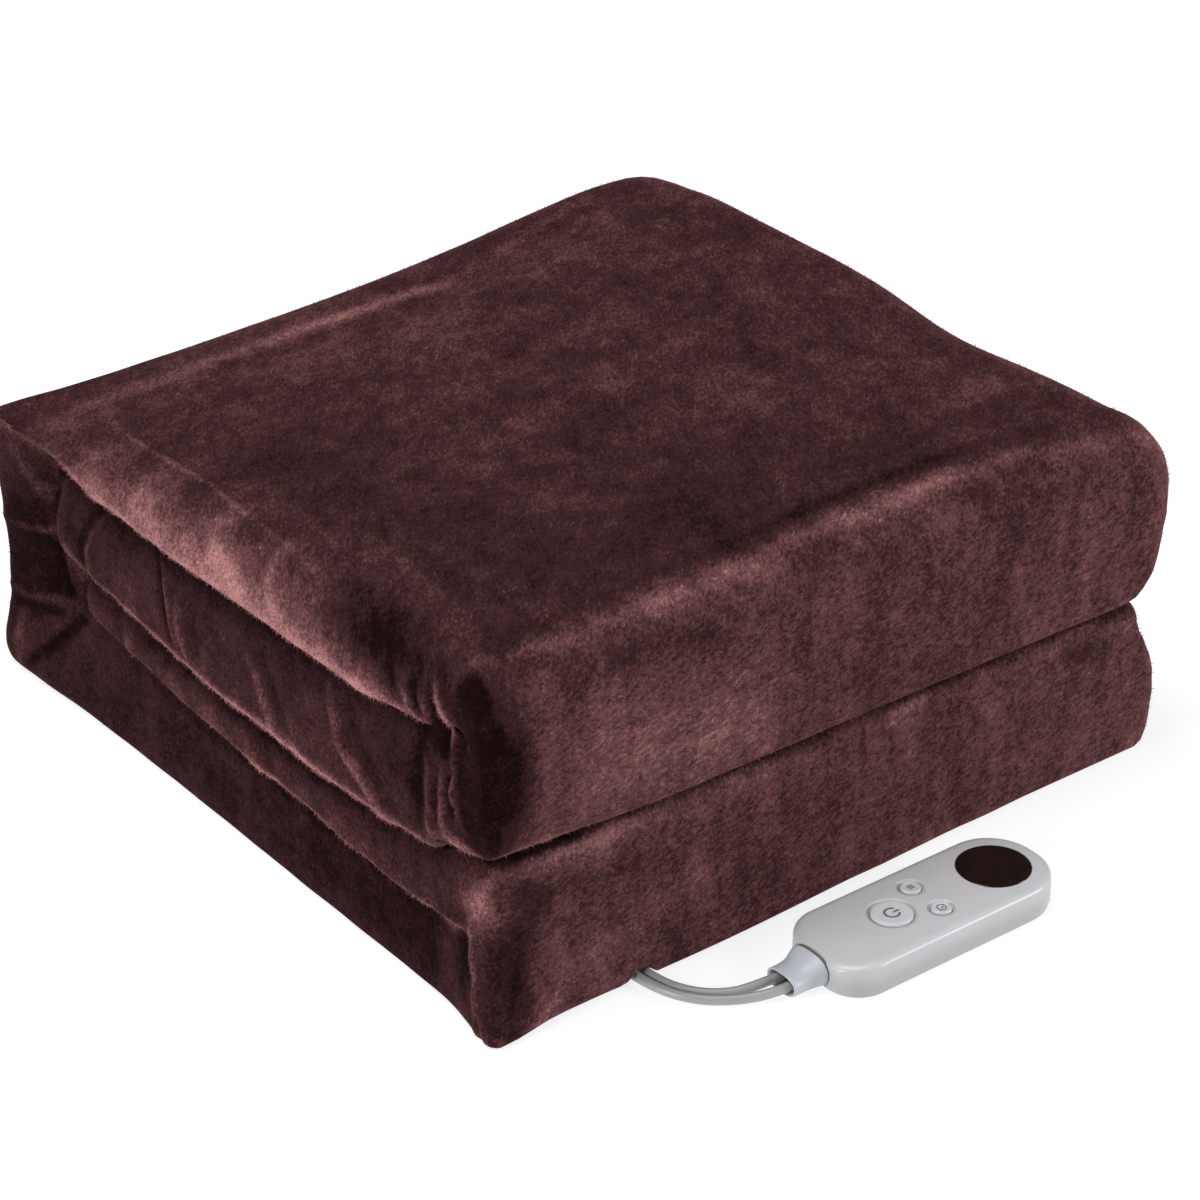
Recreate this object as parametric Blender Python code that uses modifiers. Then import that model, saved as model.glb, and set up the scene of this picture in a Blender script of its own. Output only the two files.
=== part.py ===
"""Folded electric heated blanket with its hand control, two leads, coiled mains lead and plug.

The throw is folded in three to a long strip, both strip ends are folded in to the middle, and the
whole is closed like a book.  Seen in the YZ plane it is one back-and-forth section of four layers:
upper flap, front fold, top layer, spine, bottom layer, lower front fold, lower flap.
Metres, +Z up.  X runs along the front folds, Y from the front folds to the spine.
The origin is the centre of the cloth's flat underside.
"""

import math
from collections import namedtuple

import bmesh
import bpy
import numpy as np
from mathutils import Vector

MM = 0.001
GAP = 0.3 * MM  # between pieces that touch on the real object

# ---------------------------------------------------------------- folded cloth, driving sizes
STRIP_WIDTH = 438 * MM  # a third of a 1.3 m throw, with its swollen sides
FOLDED_DEPTH = 448 * MM  # a quarter of a 1.8 m throw, less its turns
FRONT_Y = -FOLDED_DEPTH / 2
BACK_Y = FOLDED_DEPTH / 2
LEFT_X = -STRIP_WIDTH / 2
LIP_Z = 149 * MM  # underside of the top layer
TOP_Z = 196 * MM  # top of the top layer before it settles
ACROSS_STEPS = 11  # quads across the width of a layer
EDGE_STEPS = 3  # steps in each quarter of a rounded side edge

# Distances are measured back from the front folds, heights from the floor, in millimetres.
# Each height is given at the front, in the middle and at the back of the layer.
Layer = namedtuple("Layer", "near far under_near under_mid under_far over_near over_mid over_far")
TOP = Layer(46, 386, 149, 149, 149, 196, 198, 190)
UPPER_FLAP = Layer(46, 372, 85, 82, 95, 146, 146, 144)
LOWER_FLAP = Layer(46, 348, 49, 56, 66, 82, 79, 91)
BOTTOM = Layer(46, 384, 0, 0, 0, 46, 53, 60)
LAYER_STEPS = 14

# A fold joins two layers: its outer face is upright, with a rounded low and high corner, and its
# inner side turns where the crease is.
# "draw" is how far its right end draws in at the low and the high corner.
Fold = namedtuple("Fold", "low high low_round high_round face crease low_draw high_draw")
UPPER_FOLD = Fold(87, 196, 17, 33, 0, 25, 6, 0)
LOWER_FOLD = Fold(0, 84, 4, 17, -2, 26, 0, 13)
SPINE = Fold(0, 190, 8, 34, 449, 404, 0, 0)
FACE_BOW = 1.6  # how far a fold's face bulges
ROUND_STEPS = 4
FACE_STEPS = 5
CREASE_FROM = 0.16  # share of a fold's stations before its inner side starts to turn
CREASE_POWER = 1.7

FLAP_TIP = 18 * MM  # length over which a flap's closed end rounds off
TIP_TURNS = (28, 55, 76, 87)  # degrees round the closed end
TIP_INSET = 9.0  # how far its sides draw in, in millimetres

# How each stretch's side edges are shaped.  "at" is the share of the thickness, from the inner
# to the outer side of the strip, at which the edge stands out most; "outer" and "inner" are the
# widths of the roundings towards each side, and "in" how far the edge stays inside the width.
Edge = namedtuple(
    "Edge", "left_at left_outer left_inner left_in right_at right_outer right_inner right_in"
)
EDGES = {
    "upper flap": Edge(0.88, 9, 20, 0, 0.40, 20, 8, 4),
    "upper fold": Edge(0.62, 12, 8, 2, 0.45, 26, 8, -1),
    "top": Edge(0.07, 38, 4, 0, 0.28, 34, 8, 0),
    "spine": Edge(0.74, 6, 14, 1, 0.45, 22, 12, 2),
    "bottom": Edge(0.94, 3, 9, 1, 0.60, 9, 9, 2),
    "lower fold": Edge(0.86, 4, 8, 0, 0.50, 16, 8, 3),
    "lower flap": Edge(0.16, 13, 5, 1, 0.34, 18, 7, 6),
}
EDGE_BLEND = 5  # stations over which one edge shape passes into the next

# How the top settles: height over TOP_Z at the four corners, the crown in the middle and the
# swelling near the right side.
SETTLE = {
    "left front": -7 * MM,
    "right front": -13 * MM,
    "left back": -46 * MM,
    "right back": 6 * MM,
    "crown": 3 * MM,
    "right swelling": 4 * MM,
}

# ---------------------------------------------------------------- leads and the channel under the cloth
LEAD_D = 5 * MM
LEAD_Z = LEAD_D / 2 + 0.1 * MM
CHANNEL_X = -135 * MM
CHANNEL_WIDTH = 14 * MM
CHANNEL_HEIGHT = 7 * MM
LEAD_SIDES = 2  # bevel resolution: eight sides

# ---------------------------------------------------------------- hand control
CONTROL_LENGTH = 147 * MM
CONTROL_WIDTH = 57 * MM
CONTROL_CORNER = 22 * MM
CONTROL_HEIGHT = 18 * MM
CONTROL_BASE = 3 * MM
CONTROL_BASE_INSET = 1.2 * MM  # the base stands back from the housing's sides
CONTROL_EDGE = 3.2 * MM  # rounding round the top face
CONTROL_X = -0.5 * MM
CONTROL_Y = -280.5 * MM
CONTROL_LEFT = CONTROL_X - CONTROL_LENGTH / 2
CONTROL_CLEAR = 0.3 * MM

WINDOW_R = 18.7 * MM
WINDOW_DEPTH = 1.6 * MM
WINDOW_X = CONTROL_X + 45 * MM

Key = namedtuple("Key", "x y radius")
KEYS = {
    "power_key": Key(CONTROL_X - 21.5 * MM, CONTROL_Y, 10.6 * MM),
    "heat_key": Key(CONTROL_X + 0.5 * MM, CONTROL_Y + 11 * MM, 5.2 * MM),
    "timer_key": Key(CONTROL_X + 0.5 * MM, CONTROL_Y - 11 * MM, 5.2 * MM),
}
KEY_STROKE = 0.7 * MM
KEY_PROUD = 0.5 * MM
KEY_DEPTH = 2.4 * MM
KEY_EDGE = 0.45 * MM
KEY_DISH = 0.25 * MM
RIM_WIDTH = 1.3 * MM  # sunk ring of the housing round each key
RIM_DEPTH = 0.5 * MM

RELIEF_LENGTH = 16 * MM
RELIEF_Z = 5.8 * MM
LEAD_SPACING = 10.6 * MM  # between the two leads where they leave the relief

# ---------------------------------------------------------------- coil and plug behind the spine
COIL_X = -78 * MM
COIL_Y = 271 * MM
COIL_INNER_R = 19 * MM
COIL_OUTER_R = 35 * MM
COIL_HEIGHT = 15.5 * MM
COIL_EDGE = 4 * MM
TAIL_Y = COIL_Y + COIL_OUTER_R + LEAD_D / 2 + GAP
PLUG_X = 0.0
PLUG_LENGTH = 30 * MM
PLUG_HEIGHT = 16 * MM
PLUG_RELIEF = 22 * MM
PIN_LENGTH = 16 * MM
PIN_WIDTH = 6.3 * MM
PIN_THICKNESS = 1.5 * MM
PIN_SPACING = 12.7 * MM

# Hand-chosen points of the two leads, from the relief's end to the channel under the cloth.
RELIEF_END_X = CONTROL_LEFT - RELIEF_LENGTH
LEAD_START = 0.5 * MM  # leaves room for the slight tilt of a lead's end
LEAD_STEP = 12 * MM  # between the points of a lead
TAIL_STEP = 6 * MM
BLANKET_LEAD_ROUTE = (
    (RELIEF_END_X - LEAD_START, CONTROL_Y + LEAD_SPACING / 2, RELIEF_Z),
    (-0.1000, -0.2749, 0.0051),
    (-0.1110, -0.2710, 0.0034),
    (-0.1220, -0.2610, LEAD_Z),
    (-0.1295, -0.2480, LEAD_Z),
    (-0.1320, -0.2330, LEAD_Z),
    (-0.1321, -0.2080, LEAD_Z),
    (-0.1321, -0.1200, LEAD_Z),
    (-0.1321, 0.0000, LEAD_Z),
    (-0.1321, 0.1300, LEAD_Z),
)
MAINS_LEAD_ROUTE = (
    (RELIEF_END_X - LEAD_START, CONTROL_Y - LEAD_SPACING / 2, RELIEF_Z),
    (-0.1000, -0.2857, 0.0051),
    (-0.1120, -0.2825, 0.0034),
    (-0.1240, -0.2730, LEAD_Z),
    (-0.1330, -0.2600, LEAD_Z),
    (-0.1372, -0.2430, LEAD_Z),
    (-0.1379, -0.2230, LEAD_Z),
    (-0.1379, -0.1200, LEAD_Z),
    (-0.1379, 0.0000, LEAD_Z),
    (-0.1379, 0.1200, LEAD_Z),
    (-0.1376, 0.2130, LEAD_Z),
    (-0.1330, 0.2360, LEAD_Z),
    (-0.1235, 0.2530, LEAD_Z),
    (COIL_X - COIL_OUTER_R - LEAD_D / 2 - GAP, COIL_Y, LEAD_Z),
)
PLUG_END_X = PLUG_X - PLUG_LENGTH / 2 - PLUG_RELIEF
PLUG_Y = TAIL_Y - 0.5 * MM
PLUG_Z = PLUG_HEIGHT / 2
MAINS_TAIL_ROUTE = (
    (COIL_X + 3 * MM, TAIL_Y, LEAD_Z),
    (COIL_X + 14 * MM, TAIL_Y, 0.0032),
    (COIL_X + 26 * MM, TAIL_Y - 0.3 * MM, 0.0056),
    (PLUG_END_X - LEAD_START, PLUG_Y, PLUG_Z),
)

COLLECTION = "electric heated blanket"
CUTTERS = "cutters"


# ---------------------------------------------------------------- shared helpers
def collection(name):
    """Return the named collection, made and linked on first use."""
    found = bpy.data.collections.get(name)
    if found is None:
        found = bpy.data.collections.new(name)
        bpy.context.scene.collection.children.link(found)
    return found


def material(name, colour, roughness, metallic=0.0):
    """Return a plain Principled material."""
    made = bpy.data.materials.new(name)
    made.use_nodes = True
    shader = made.node_tree.nodes["Principled BSDF"]
    shader.inputs["Base Color"].default_value = (*colour, 1.0)
    shader.inputs["Roughness"].default_value = roughness
    shader.inputs["Metallic"].default_value = metallic
    return made


def place(obj, finish, where=COLLECTION):
    """Put an object into a collection and give it its material."""
    for home in list(obj.users_collection):
        home.objects.unlink(obj)
    collection(where).objects.link(obj)
    if finish is not None:
        obj.data.materials.append(finish)
    return obj


def mesh_object(name, bm, finish, where=COLLECTION):
    """Turn a bmesh into a placed object with its faces pointing out."""
    bmesh.ops.recalc_face_normals(bm, faces=bm.faces)
    mesh = bpy.data.meshes.new(name)
    bm.to_mesh(mesh)
    bm.free()
    return place(bpy.data.objects.new(name, mesh), finish, where)


def smooth(obj, degrees=35):
    """Shade an object smooth but for its sharp edges."""
    obj.data.shade_smooth()
    obj.data.set_sharp_from_angle(angle=math.radians(degrees))


def bevel(obj, width, segments, limit=30):
    """Round the edges of an object that are sharper than the limit angle."""
    mod = obj.modifiers.new("rounded edges", "BEVEL")
    mod.width = width
    mod.segments = segments
    mod.limit_method = "ANGLE"
    mod.angle_limit = math.radians(limit)
    return mod


def cut(obj, cutter):
    """Cut one object out of another."""
    mod = obj.modifiers.new("cut " + cutter.name, "BOOLEAN")
    mod.operation = "DIFFERENCE"
    mod.solver = "EXACT"
    mod.object = cutter
    cutter.hide_render = True
    cutter.display_type = "WIRE"


def box(name, low, high, finish=None, where=COLLECTION):
    """Make a box between two corners."""
    bm = bmesh.new()
    bmesh.ops.create_cube(bm, size=1.0)
    size = [h - l for l, h in zip(low, high)]
    middle = [(h + l) / 2 for l, h in zip(low, high)]
    bmesh.ops.scale(bm, vec=size, verts=bm.verts)
    bmesh.ops.translate(bm, vec=middle, verts=bm.verts)
    return mesh_object(name, bm, finish, where)


def turned(name, profile, centre, finish, steps=48, where=COLLECTION):
    """Turn a profile of (radius, height) points, from outer top down, about a vertical axis."""
    bm = bmesh.new()
    verts = [bm.verts.new((r, 0.0, z)) for r, z in profile]
    for a, b in zip(verts, verts[1:]):
        bm.edges.new((a, b))
    mesh = bpy.data.meshes.new(name)
    bm.to_mesh(mesh)
    bm.free()
    obj = place(bpy.data.objects.new(name, mesh), finish, where)
    obj.location = centre
    mod = obj.modifiers.new("turn", "SCREW")
    mod.steps = steps
    mod.render_steps = steps
    mod.use_merge_vertices = True
    mod.merge_threshold = 0.00001
    mod.use_smooth_shade = True
    return obj


def loft(name, rings, finish, where=COLLECTION):
    """Join closed rings of equal count into one closed body."""
    bm = bmesh.new()
    rows = [[bm.verts.new(p) for p in ring] for ring in rings]
    count = len(rows[0])
    for a, b in zip(rows, rows[1:]):
        for i in range(count):
            j = (i + 1) % count
            bm.faces.new((a[i], a[j], b[j], b[i]))
    bm.faces.new(rows[0][::-1])
    bm.faces.new(rows[-1])
    return mesh_object(name, bm, finish, where)


def smooth_route(points, step):
    """Read evenly spaced points from a centripetal Catmull-Rom curve through a route's points."""
    pts = [Vector(p) for p in points]
    pts = [pts[0] * 2 - pts[1], *pts, pts[-1] * 2 - pts[-2]]
    fine = []
    for p0, p1, p2, p3 in zip(pts, pts[1:], pts[2:], pts[3:]):
        knots = [0.0]
        for a, b in ((p0, p1), (p1, p2), (p2, p3)):
            knots.append(knots[-1] + math.sqrt((b - a).length))
        for k in range(24):
            t = knots[1] + (knots[2] - knots[1]) * k / 24
            level = [p0, p1, p2, p3]
            for span in (1, 2, 3):
                level = [
                    level[i].lerp(
                        level[i + 1], (t - knots[i]) / (knots[i + span] - knots[i])
                    )
                    for i in range(len(level) - 1)
                ]
            fine.append(level[0])
    fine.append(pts[-2])
    run = np.concatenate([[0.0], np.cumsum([(b - a).length for a, b in zip(fine, fine[1:])])])
    count = max(4, round(run[-1] / step))
    at = np.linspace(0.0, run[-1], count + 1)
    columns = [np.interp(at, run, [p[axis] for p in fine]) for axis in range(3)]
    return [Vector(p) for p in zip(*columns)]


def tube(name, points, diameter, finish):
    """Make a round tube with closed ends along points."""
    curve = bpy.data.curves.new(name, "CURVE")
    curve.dimensions = "3D"
    curve.bevel_depth = diameter / 2
    curve.bevel_resolution = LEAD_SIDES
    curve.use_fill_caps = True
    spline = curve.splines.new("POLY")
    spline.points.add(len(points) - 1)
    for knot, p in zip(spline.points, points):
        knot.co = (*p, 1.0)
    return place(bpy.data.objects.new(name, curve), finish)


# ---------------------------------------------------------------- the folded cloth
Station = namedtuple("Station", "stretch outer inner left_inset right_inset")


def three_way(near, mid, far, share):
    """Pass smoothly through three heights at shares 0, 0.5 and 1."""
    bend = 4 * share * (1 - share)
    return near * (1 - share) + far * share + (mid - (near + far) / 2) * bend


def layer_stations(stretch, layer, outer_is_over, towards_back):
    """Return the stations of one flat layer, in the direction in which the strip is followed."""
    stations = []
    for k in range(LAYER_STEPS + 1):
        share = k / LAYER_STEPS
        y = layer.near + (layer.far - layer.near) * share
        under = three_way(layer.under_near, layer.under_mid, layer.under_far, share)
        over = three_way(layer.over_near, layer.over_mid, layer.over_far, share)
        outer, inner = (over, under) if outer_is_over else (under, over)
        stations.append(Station(stretch, (y, outer), (y, inner), 0.0, 0.0))
    return stations if towards_back else stations[::-1]


def fold_outline(fold, start, end):
    """Return the outer side of a fold, from its low layer round its face to its high layer."""
    side = 1 if start > fold.face else -1
    low_top = fold.low + fold.low_round
    rise = fold.high - fold.high_round - low_top
    turns = [math.radians(90 * k / ROUND_STEPS) for k in range(ROUND_STEPS + 1)]
    outline = [((start + fold.face + side * fold.low_round) / 2, fold.low)]
    for turn in turns:
        y = fold.face + side * fold.low_round * (1 - math.sin(turn))
        outline.append((y, low_top - fold.low_round * math.cos(turn)))
    for k in range(1, FACE_STEPS):
        bow = FACE_BOW * math.sin(math.pi * k / FACE_STEPS)
        outline.append((fold.face - side * bow, low_top + rise * k / FACE_STEPS))
    for turn in turns:
        y = fold.face + side * fold.high_round * (1 - math.cos(turn))
        outline.append((y, fold.high - fold.high_round * (1 - math.sin(turn))))
    outline.append(((end + fold.face + side * fold.high_round) / 2, fold.high))
    return outline


def fold_stations(stretch, fold, low_station, high_station):
    """Return the stations between a low and a high layer, from the low one to the high one."""
    (start, low_z), (end, high_z) = low_station.inner, high_station.inner
    outline = fold_outline(fold, start, end)
    stations = []
    for k, point in enumerate(outline):
        share = (k + 1) / (len(outline) + 1)
        climb = min(1.0, max(0.0, (share - CREASE_FROM) / (1 - 2 * CREASE_FROM)))
        climb = climb * climb * (3 - 2 * climb)
        flat = start if share < 0.5 else end
        y = fold.crease + (flat - fold.crease) * abs(2 * share - 1) ** CREASE_POWER
        draw = fold.low_draw if share < 0.5 else fold.high_draw
        inset = draw * math.sin(2 * math.pi * share) ** 2
        inner = (y, low_z + (high_z - low_z) * climb)
        stations.append(Station(stretch, point, inner, 0.0, inset))
    return stations


def tip_stations(station, direction):
    """Return the stations that round off a flap's closed end beyond its last station."""
    (outer_y, outer_z), (_, inner_z) = station.outer, station.inner
    middle, half = (outer_z + inner_z) / 2, (outer_z - inner_z) / 2
    stations = []
    for degrees in TIP_TURNS:
        turn = math.radians(degrees)
        y = outer_y + direction * FLAP_TIP / MM * math.sin(turn)
        spread = half * math.cos(turn)
        inset = TIP_INSET * (1 - math.cos(turn))
        over, under = (y, middle + spread), (y, middle - spread)
        stations.append(Station(station.stretch, over, under, inset, inset))
    return stations


def cloth_stations():
    """Return every station of the strip, from the upper flap's end to the lower flap's end."""
    upper = layer_stations("upper flap", UPPER_FLAP, False, False)
    lower = layer_stations("lower flap", LOWER_FLAP, True, True)
    top = layer_stations("top", TOP, True, True)
    bottom = layer_stations("bottom", BOTTOM, False, False)
    front = fold_stations("upper fold", UPPER_FOLD, upper[-1], top[0])
    spine = fold_stations("spine", SPINE, bottom[0], top[-1])[::-1]
    low_front = fold_stations("lower fold", LOWER_FOLD, bottom[-1], lower[0])
    start = tip_stations(upper[0], 1)[::-1]
    end = tip_stations(lower[-1], 1)
    return [*start, *upper, *front, *top, *spine, *bottom, *low_front, *lower, *end]


def blended_edges(stations):
    """Return one Edge for each station, passing smoothly from stretch to stretch."""
    rows = np.array([EDGES[s.stretch] for s in stations], float)
    pad = EDGE_BLEND // 2
    padded = np.vstack([rows[:1]] * pad + [rows] + [rows[-1:]] * pad)
    return [Edge(*padded[i : i + EDGE_BLEND].mean(axis=0)) for i in range(len(rows))]


def quarter(share):
    """Return how far a quarter ellipse has drawn in at a share of its height."""
    return 1.0 - math.sqrt(max(0.0, 1.0 - share * share))


def side_points(at, outer, inner):
    """Return (share of thickness, draw-in) from the outer to the inner side of one side edge."""
    points = []
    for k in range(EDGE_STEPS):
        share = math.cos(math.radians(90 * k / EDGE_STEPS))
        points.append((at + (1 - at) * share, outer * quarter(share)))
    points.append((at, 0.0))
    for k in range(1, EDGE_STEPS + 1):
        share = math.sin(math.radians(90 * k / EDGE_STEPS))
        points.append((at * (1 - share), inner * quarter(share)))
    return points


def settled(x, y, z):
    """Lower or raise what lies above the top layer's underside, as the soft pile has settled."""
    across = (x - LEFT_X) / STRIP_WIDTH
    back = (y - FRONT_Y) / FOLDED_DEPTH
    front_rise = SETTLE["left front"] * (1 - across) + SETTLE["right front"] * across
    back_rise = SETTLE["left back"] * (1 - across) + SETTLE["right back"] * across
    rise = front_rise * (1 - back) + back_rise * back
    rise += SETTLE["crown"] * math.sin(math.pi * across) * math.sin(math.pi * back)
    swell = math.exp(-(((across - 0.9) / 0.25) ** 2) - ((back - 0.65) / 0.28) ** 2)
    rise += SETTLE["right swelling"] * swell
    share = max(0.0, (z - LIP_Z) / (TOP_Z - LIP_Z))
    return z + rise * share


def cloth_ring(station, edge):
    """Return the closed ring of points of the strip at one station."""
    outer = np.array(station.outer)
    inner = np.array(station.inner)
    left = LEFT_X / MM + edge.left_in + station.left_inset
    right = -LEFT_X / MM - edge.right_in - station.right_inset
    left_draw = side_points(edge.left_at, edge.left_outer, edge.left_inner)
    right_draw = side_points(edge.right_at, edge.right_outer, edge.right_inner)
    left_side = [(left + drawn, share) for share, drawn in left_draw]
    right_side = [(right - drawn, share) for share, drawn in right_draw]
    over = np.linspace(left_side[0][0], right_side[0][0], ACROSS_STEPS + 1)[1:-1]
    under = np.linspace(right_side[-1][0], left_side[-1][0], ACROSS_STEPS + 1)[1:-1]
    ring = [(x, 1.0) for x in over] + right_side + [(x, 0.0) for x in under] + left_side[::-1]
    points = []
    for x, share in ring:
        y, z = inner + (outer - inner) * share
        x, y, z = x * MM, FRONT_Y + y * MM, z * MM
        points.append((x, y, settled(x, y, z)))
    return points


def make_cloth(finish):
    """Build the folded cloth and cut the channel in which the leads lie."""
    stations = cloth_stations()
    edges = blended_edges(stations)
    rings = [cloth_ring(s, e) for s, e in zip(stations, edges)]
    cloth = loft("folded_blanket", rings, finish)
    channel = box(
        "channel cutter",
        (CHANNEL_X - CHANNEL_WIDTH / 2, FRONT_Y - 20 * MM, -5 * MM),
        (CHANNEL_X + CHANNEL_WIDTH / 2, BACK_Y + 20 * MM, CHANNEL_HEIGHT),
        where=CUTTERS,
    )
    cut(cloth, channel)
    smooth(cloth, 60)


# ---------------------------------------------------------------- hand control
def stadium(length, width, corner, steps=10):
    """Return the outline of a rectangle with rounded corners, about its own centre."""
    points = []
    for quarter_turn in range(4):
        sx = (1, -1, -1, 1)[quarter_turn]
        sy = (1, 1, -1, -1)[quarter_turn]
        for k in range(steps + 1):
            turn = math.radians(90 * (quarter_turn + k / steps))
            x = sx * (length / 2 - corner) + corner * math.cos(turn)
            y = sy * (width / 2 - corner) + corner * math.sin(turn)
            points.append((x, y))
    return points


def slab(name, outline, low, high, centre, finish):
    """Make a flat plate with a given outline between two heights."""
    curve = bpy.data.curves.new(name, "CURVE")
    curve.dimensions = "2D"
    curve.fill_mode = "BOTH"
    curve.extrude = (high - low) / 2
    spline = curve.splines.new("POLY")
    spline.points.add(len(outline) - 1)
    for knot, (x, y) in zip(spline.points, outline):
        knot.co = (x, y, 0.0, 1.0)
    spline.use_cyclic_u = True
    drawn = bpy.data.objects.new(name, curve)
    collection(COLLECTION).objects.link(drawn)
    drawn.location = (centre[0], centre[1], (low + high) / 2)
    bpy.context.view_layer.update()
    solid = bpy.data.meshes.new_from_object(
        drawn.evaluated_get(bpy.context.evaluated_depsgraph_get())
    )
    solid.transform(drawn.matrix_world)
    bpy.data.objects.remove(drawn)
    bm = bmesh.new()
    bm.from_mesh(solid)
    bmesh.ops.remove_doubles(bm, verts=bm.verts, dist=0.00001)
    bmesh.ops.dissolve_limit(bm, angle_limit=0.001, verts=bm.verts, edges=bm.edges)
    return mesh_object(name, bm, finish)


def relief_ring(x, width, height):
    """Return an oval ring of the strain relief at one distance along the leads."""
    points = []
    for k in range(20):
        turn = 2 * math.pi * k / 20
        across = math.copysign(abs(math.cos(turn)) ** 0.75, math.cos(turn))
        up = math.copysign(abs(math.sin(turn)) ** 0.85, math.sin(turn))
        points.append((x, CONTROL_Y + across * width / 2, RELIEF_Z + up * height / 2))
    return points


def make_relief(finish):
    """Build the flared oval strain relief with a neck that sits in the housing."""
    rows = (
        # distance from the housing's end in millimetres, width, height
        (4.5, 17.0, 9.0),
        (0.5, 17.0, 9.0),
        (0.2, 19.0, 11.0),
        (-4.0, 19.0, 10.8),
        (-8.0, 19.8, 10.6),
        (-12.0, 21.2, 10.6),
        (-15.3, 22.4, 11.0),
        (-16.0, 21.6, 10.2),
    )
    rings = [relief_ring(CONTROL_LEFT + d * MM, w * MM, h * MM) for d, w, h in rows]
    relief = loft("strain_relief", rings, finish)
    smooth(relief, 50)


def relief_socket():
    """Return the cutter of the socket in which the relief's neck and shoulder sit."""
    rows = (
        # distance from the housing's end in millimetres, width, height
        (4.8, 17.6, 9.6),
        (0.9, 17.6, 9.6),
        (0.8, 19.7, 11.7),
        (-12.0, 19.7, 11.7),
    )
    rings = [relief_ring(CONTROL_LEFT + d * MM, w * MM, h * MM) for d, w, h in rows]
    return loft("relief socket cutter", rings, None, CUTTERS)


def make_control(shell_finish, key_finish, window_finish):
    """Build the hand control: base, housing, window and keys."""
    centre = (CONTROL_X, CONTROL_Y)
    inset = CONTROL_BASE_INSET
    outline = stadium(CONTROL_LENGTH - 2 * inset, CONTROL_WIDTH - 2 * inset, CONTROL_CORNER - inset)
    base = slab("control_base", outline, 0.0, CONTROL_BASE - GAP, centre, shell_finish)
    outline = stadium(CONTROL_LENGTH, CONTROL_WIDTH, CONTROL_CORNER)
    housing = slab("control_housing", outline, CONTROL_BASE, CONTROL_HEIGHT, centre, shell_finish)
    bevel(housing, CONTROL_EDGE, 4, 60)
    bevel(base, 0.8 * MM, 2, 60)
    socket = relief_socket()
    cut(base, socket)
    cut(housing, socket)
    top = CONTROL_HEIGHT
    pocket = turned(
        "window cutter",
        [
            (0.0, top + 2 * MM),
            (WINDOW_R + CONTROL_CLEAR, top + 2 * MM),
            (WINDOW_R + CONTROL_CLEAR, top - WINDOW_DEPTH - CONTROL_CLEAR),
            (0.0, top - WINDOW_DEPTH - CONTROL_CLEAR),
        ],
        (WINDOW_X, CONTROL_Y, 0.0),
        None,
        where=CUTTERS,
    )
    cut(housing, pocket)
    turned(
        "display_window",
        [
            (0.0, top + 0.15 * MM),
            (WINDOW_R - 0.5 * MM, top + 0.05 * MM),
            (WINDOW_R, top - 0.4 * MM),
            (WINDOW_R, top - WINDOW_DEPTH),
            (0.0, top - WINDOW_DEPTH),
        ],
        (WINDOW_X, CONTROL_Y, 0.0),
        window_finish,
    )
    for name, key in KEYS.items():
        well_r = key.radius + CONTROL_CLEAR
        floor = top + KEY_PROUD - KEY_DEPTH - KEY_STROKE - CONTROL_CLEAR
        well = turned(
            name + " well cutter",
            [
                (0.0, top + 2 * MM),
                (well_r + RIM_WIDTH + 0.4 * MM, top + 2 * MM),
                (well_r + RIM_WIDTH, top - RIM_DEPTH * 0.2),
                (well_r + RIM_WIDTH * 0.4, top - RIM_DEPTH),
                (well_r, top - RIM_DEPTH),
                (well_r, floor),
                (0.0, floor),
            ],
            (key.x, key.y, 0.0),
            None,
            steps=32,
            where=CUTTERS,
        )
        cut(housing, well)
        turned(
            name,
            [
                (0.0, top + KEY_PROUD - KEY_DISH),
                (key.radius * 0.6, top + KEY_PROUD - KEY_DISH * 0.6),
                (key.radius - KEY_EDGE, top + KEY_PROUD),
                (key.radius, top + KEY_PROUD - KEY_EDGE),
                (key.radius, top + KEY_PROUD - KEY_DEPTH),
                (0.0, top + KEY_PROUD - KEY_DEPTH),
            ],
            (key.x, key.y, 0.0),
            key_finish,
            steps=32,
        )
    smooth(housing)
    smooth(base)


# ---------------------------------------------------------------- leads, coil and plug
def make_leads(finish):
    """Build the stretches of lead that aren't coiled."""
    tube("blanket_lead", smooth_route(BLANKET_LEAD_ROUTE, LEAD_STEP), LEAD_D, finish)
    tube("mains_lead", smooth_route(MAINS_LEAD_ROUTE, LEAD_STEP), LEAD_D, finish)
    tube("mains_tail", smooth_route(MAINS_TAIL_ROUTE, TAIL_STEP), LEAD_D, finish)


def make_coil(finish):
    """Build the outer shape of the coiled length as one turned ring."""
    inner, outer, edge, high = COIL_INNER_R, COIL_OUTER_R, COIL_EDGE, COIL_HEIGHT
    corners = (
        # corner centre radius, corner centre height, first angle
        (outer - edge, high - edge, 90),
        (outer - edge, edge, 0),
        (inner + edge, edge, -90),
        (inner + edge, high - edge, -180),
    )
    profile = []
    for radius, height, first in corners:
        for k in range(4):
            turn = math.radians(first - 90 * k / 3)
            profile.append((radius + edge * math.cos(turn), height + edge * math.sin(turn)))
    profile.append(profile[0])
    turned("lead_coil", profile, (COIL_X, COIL_Y, 0.0), finish)


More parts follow.
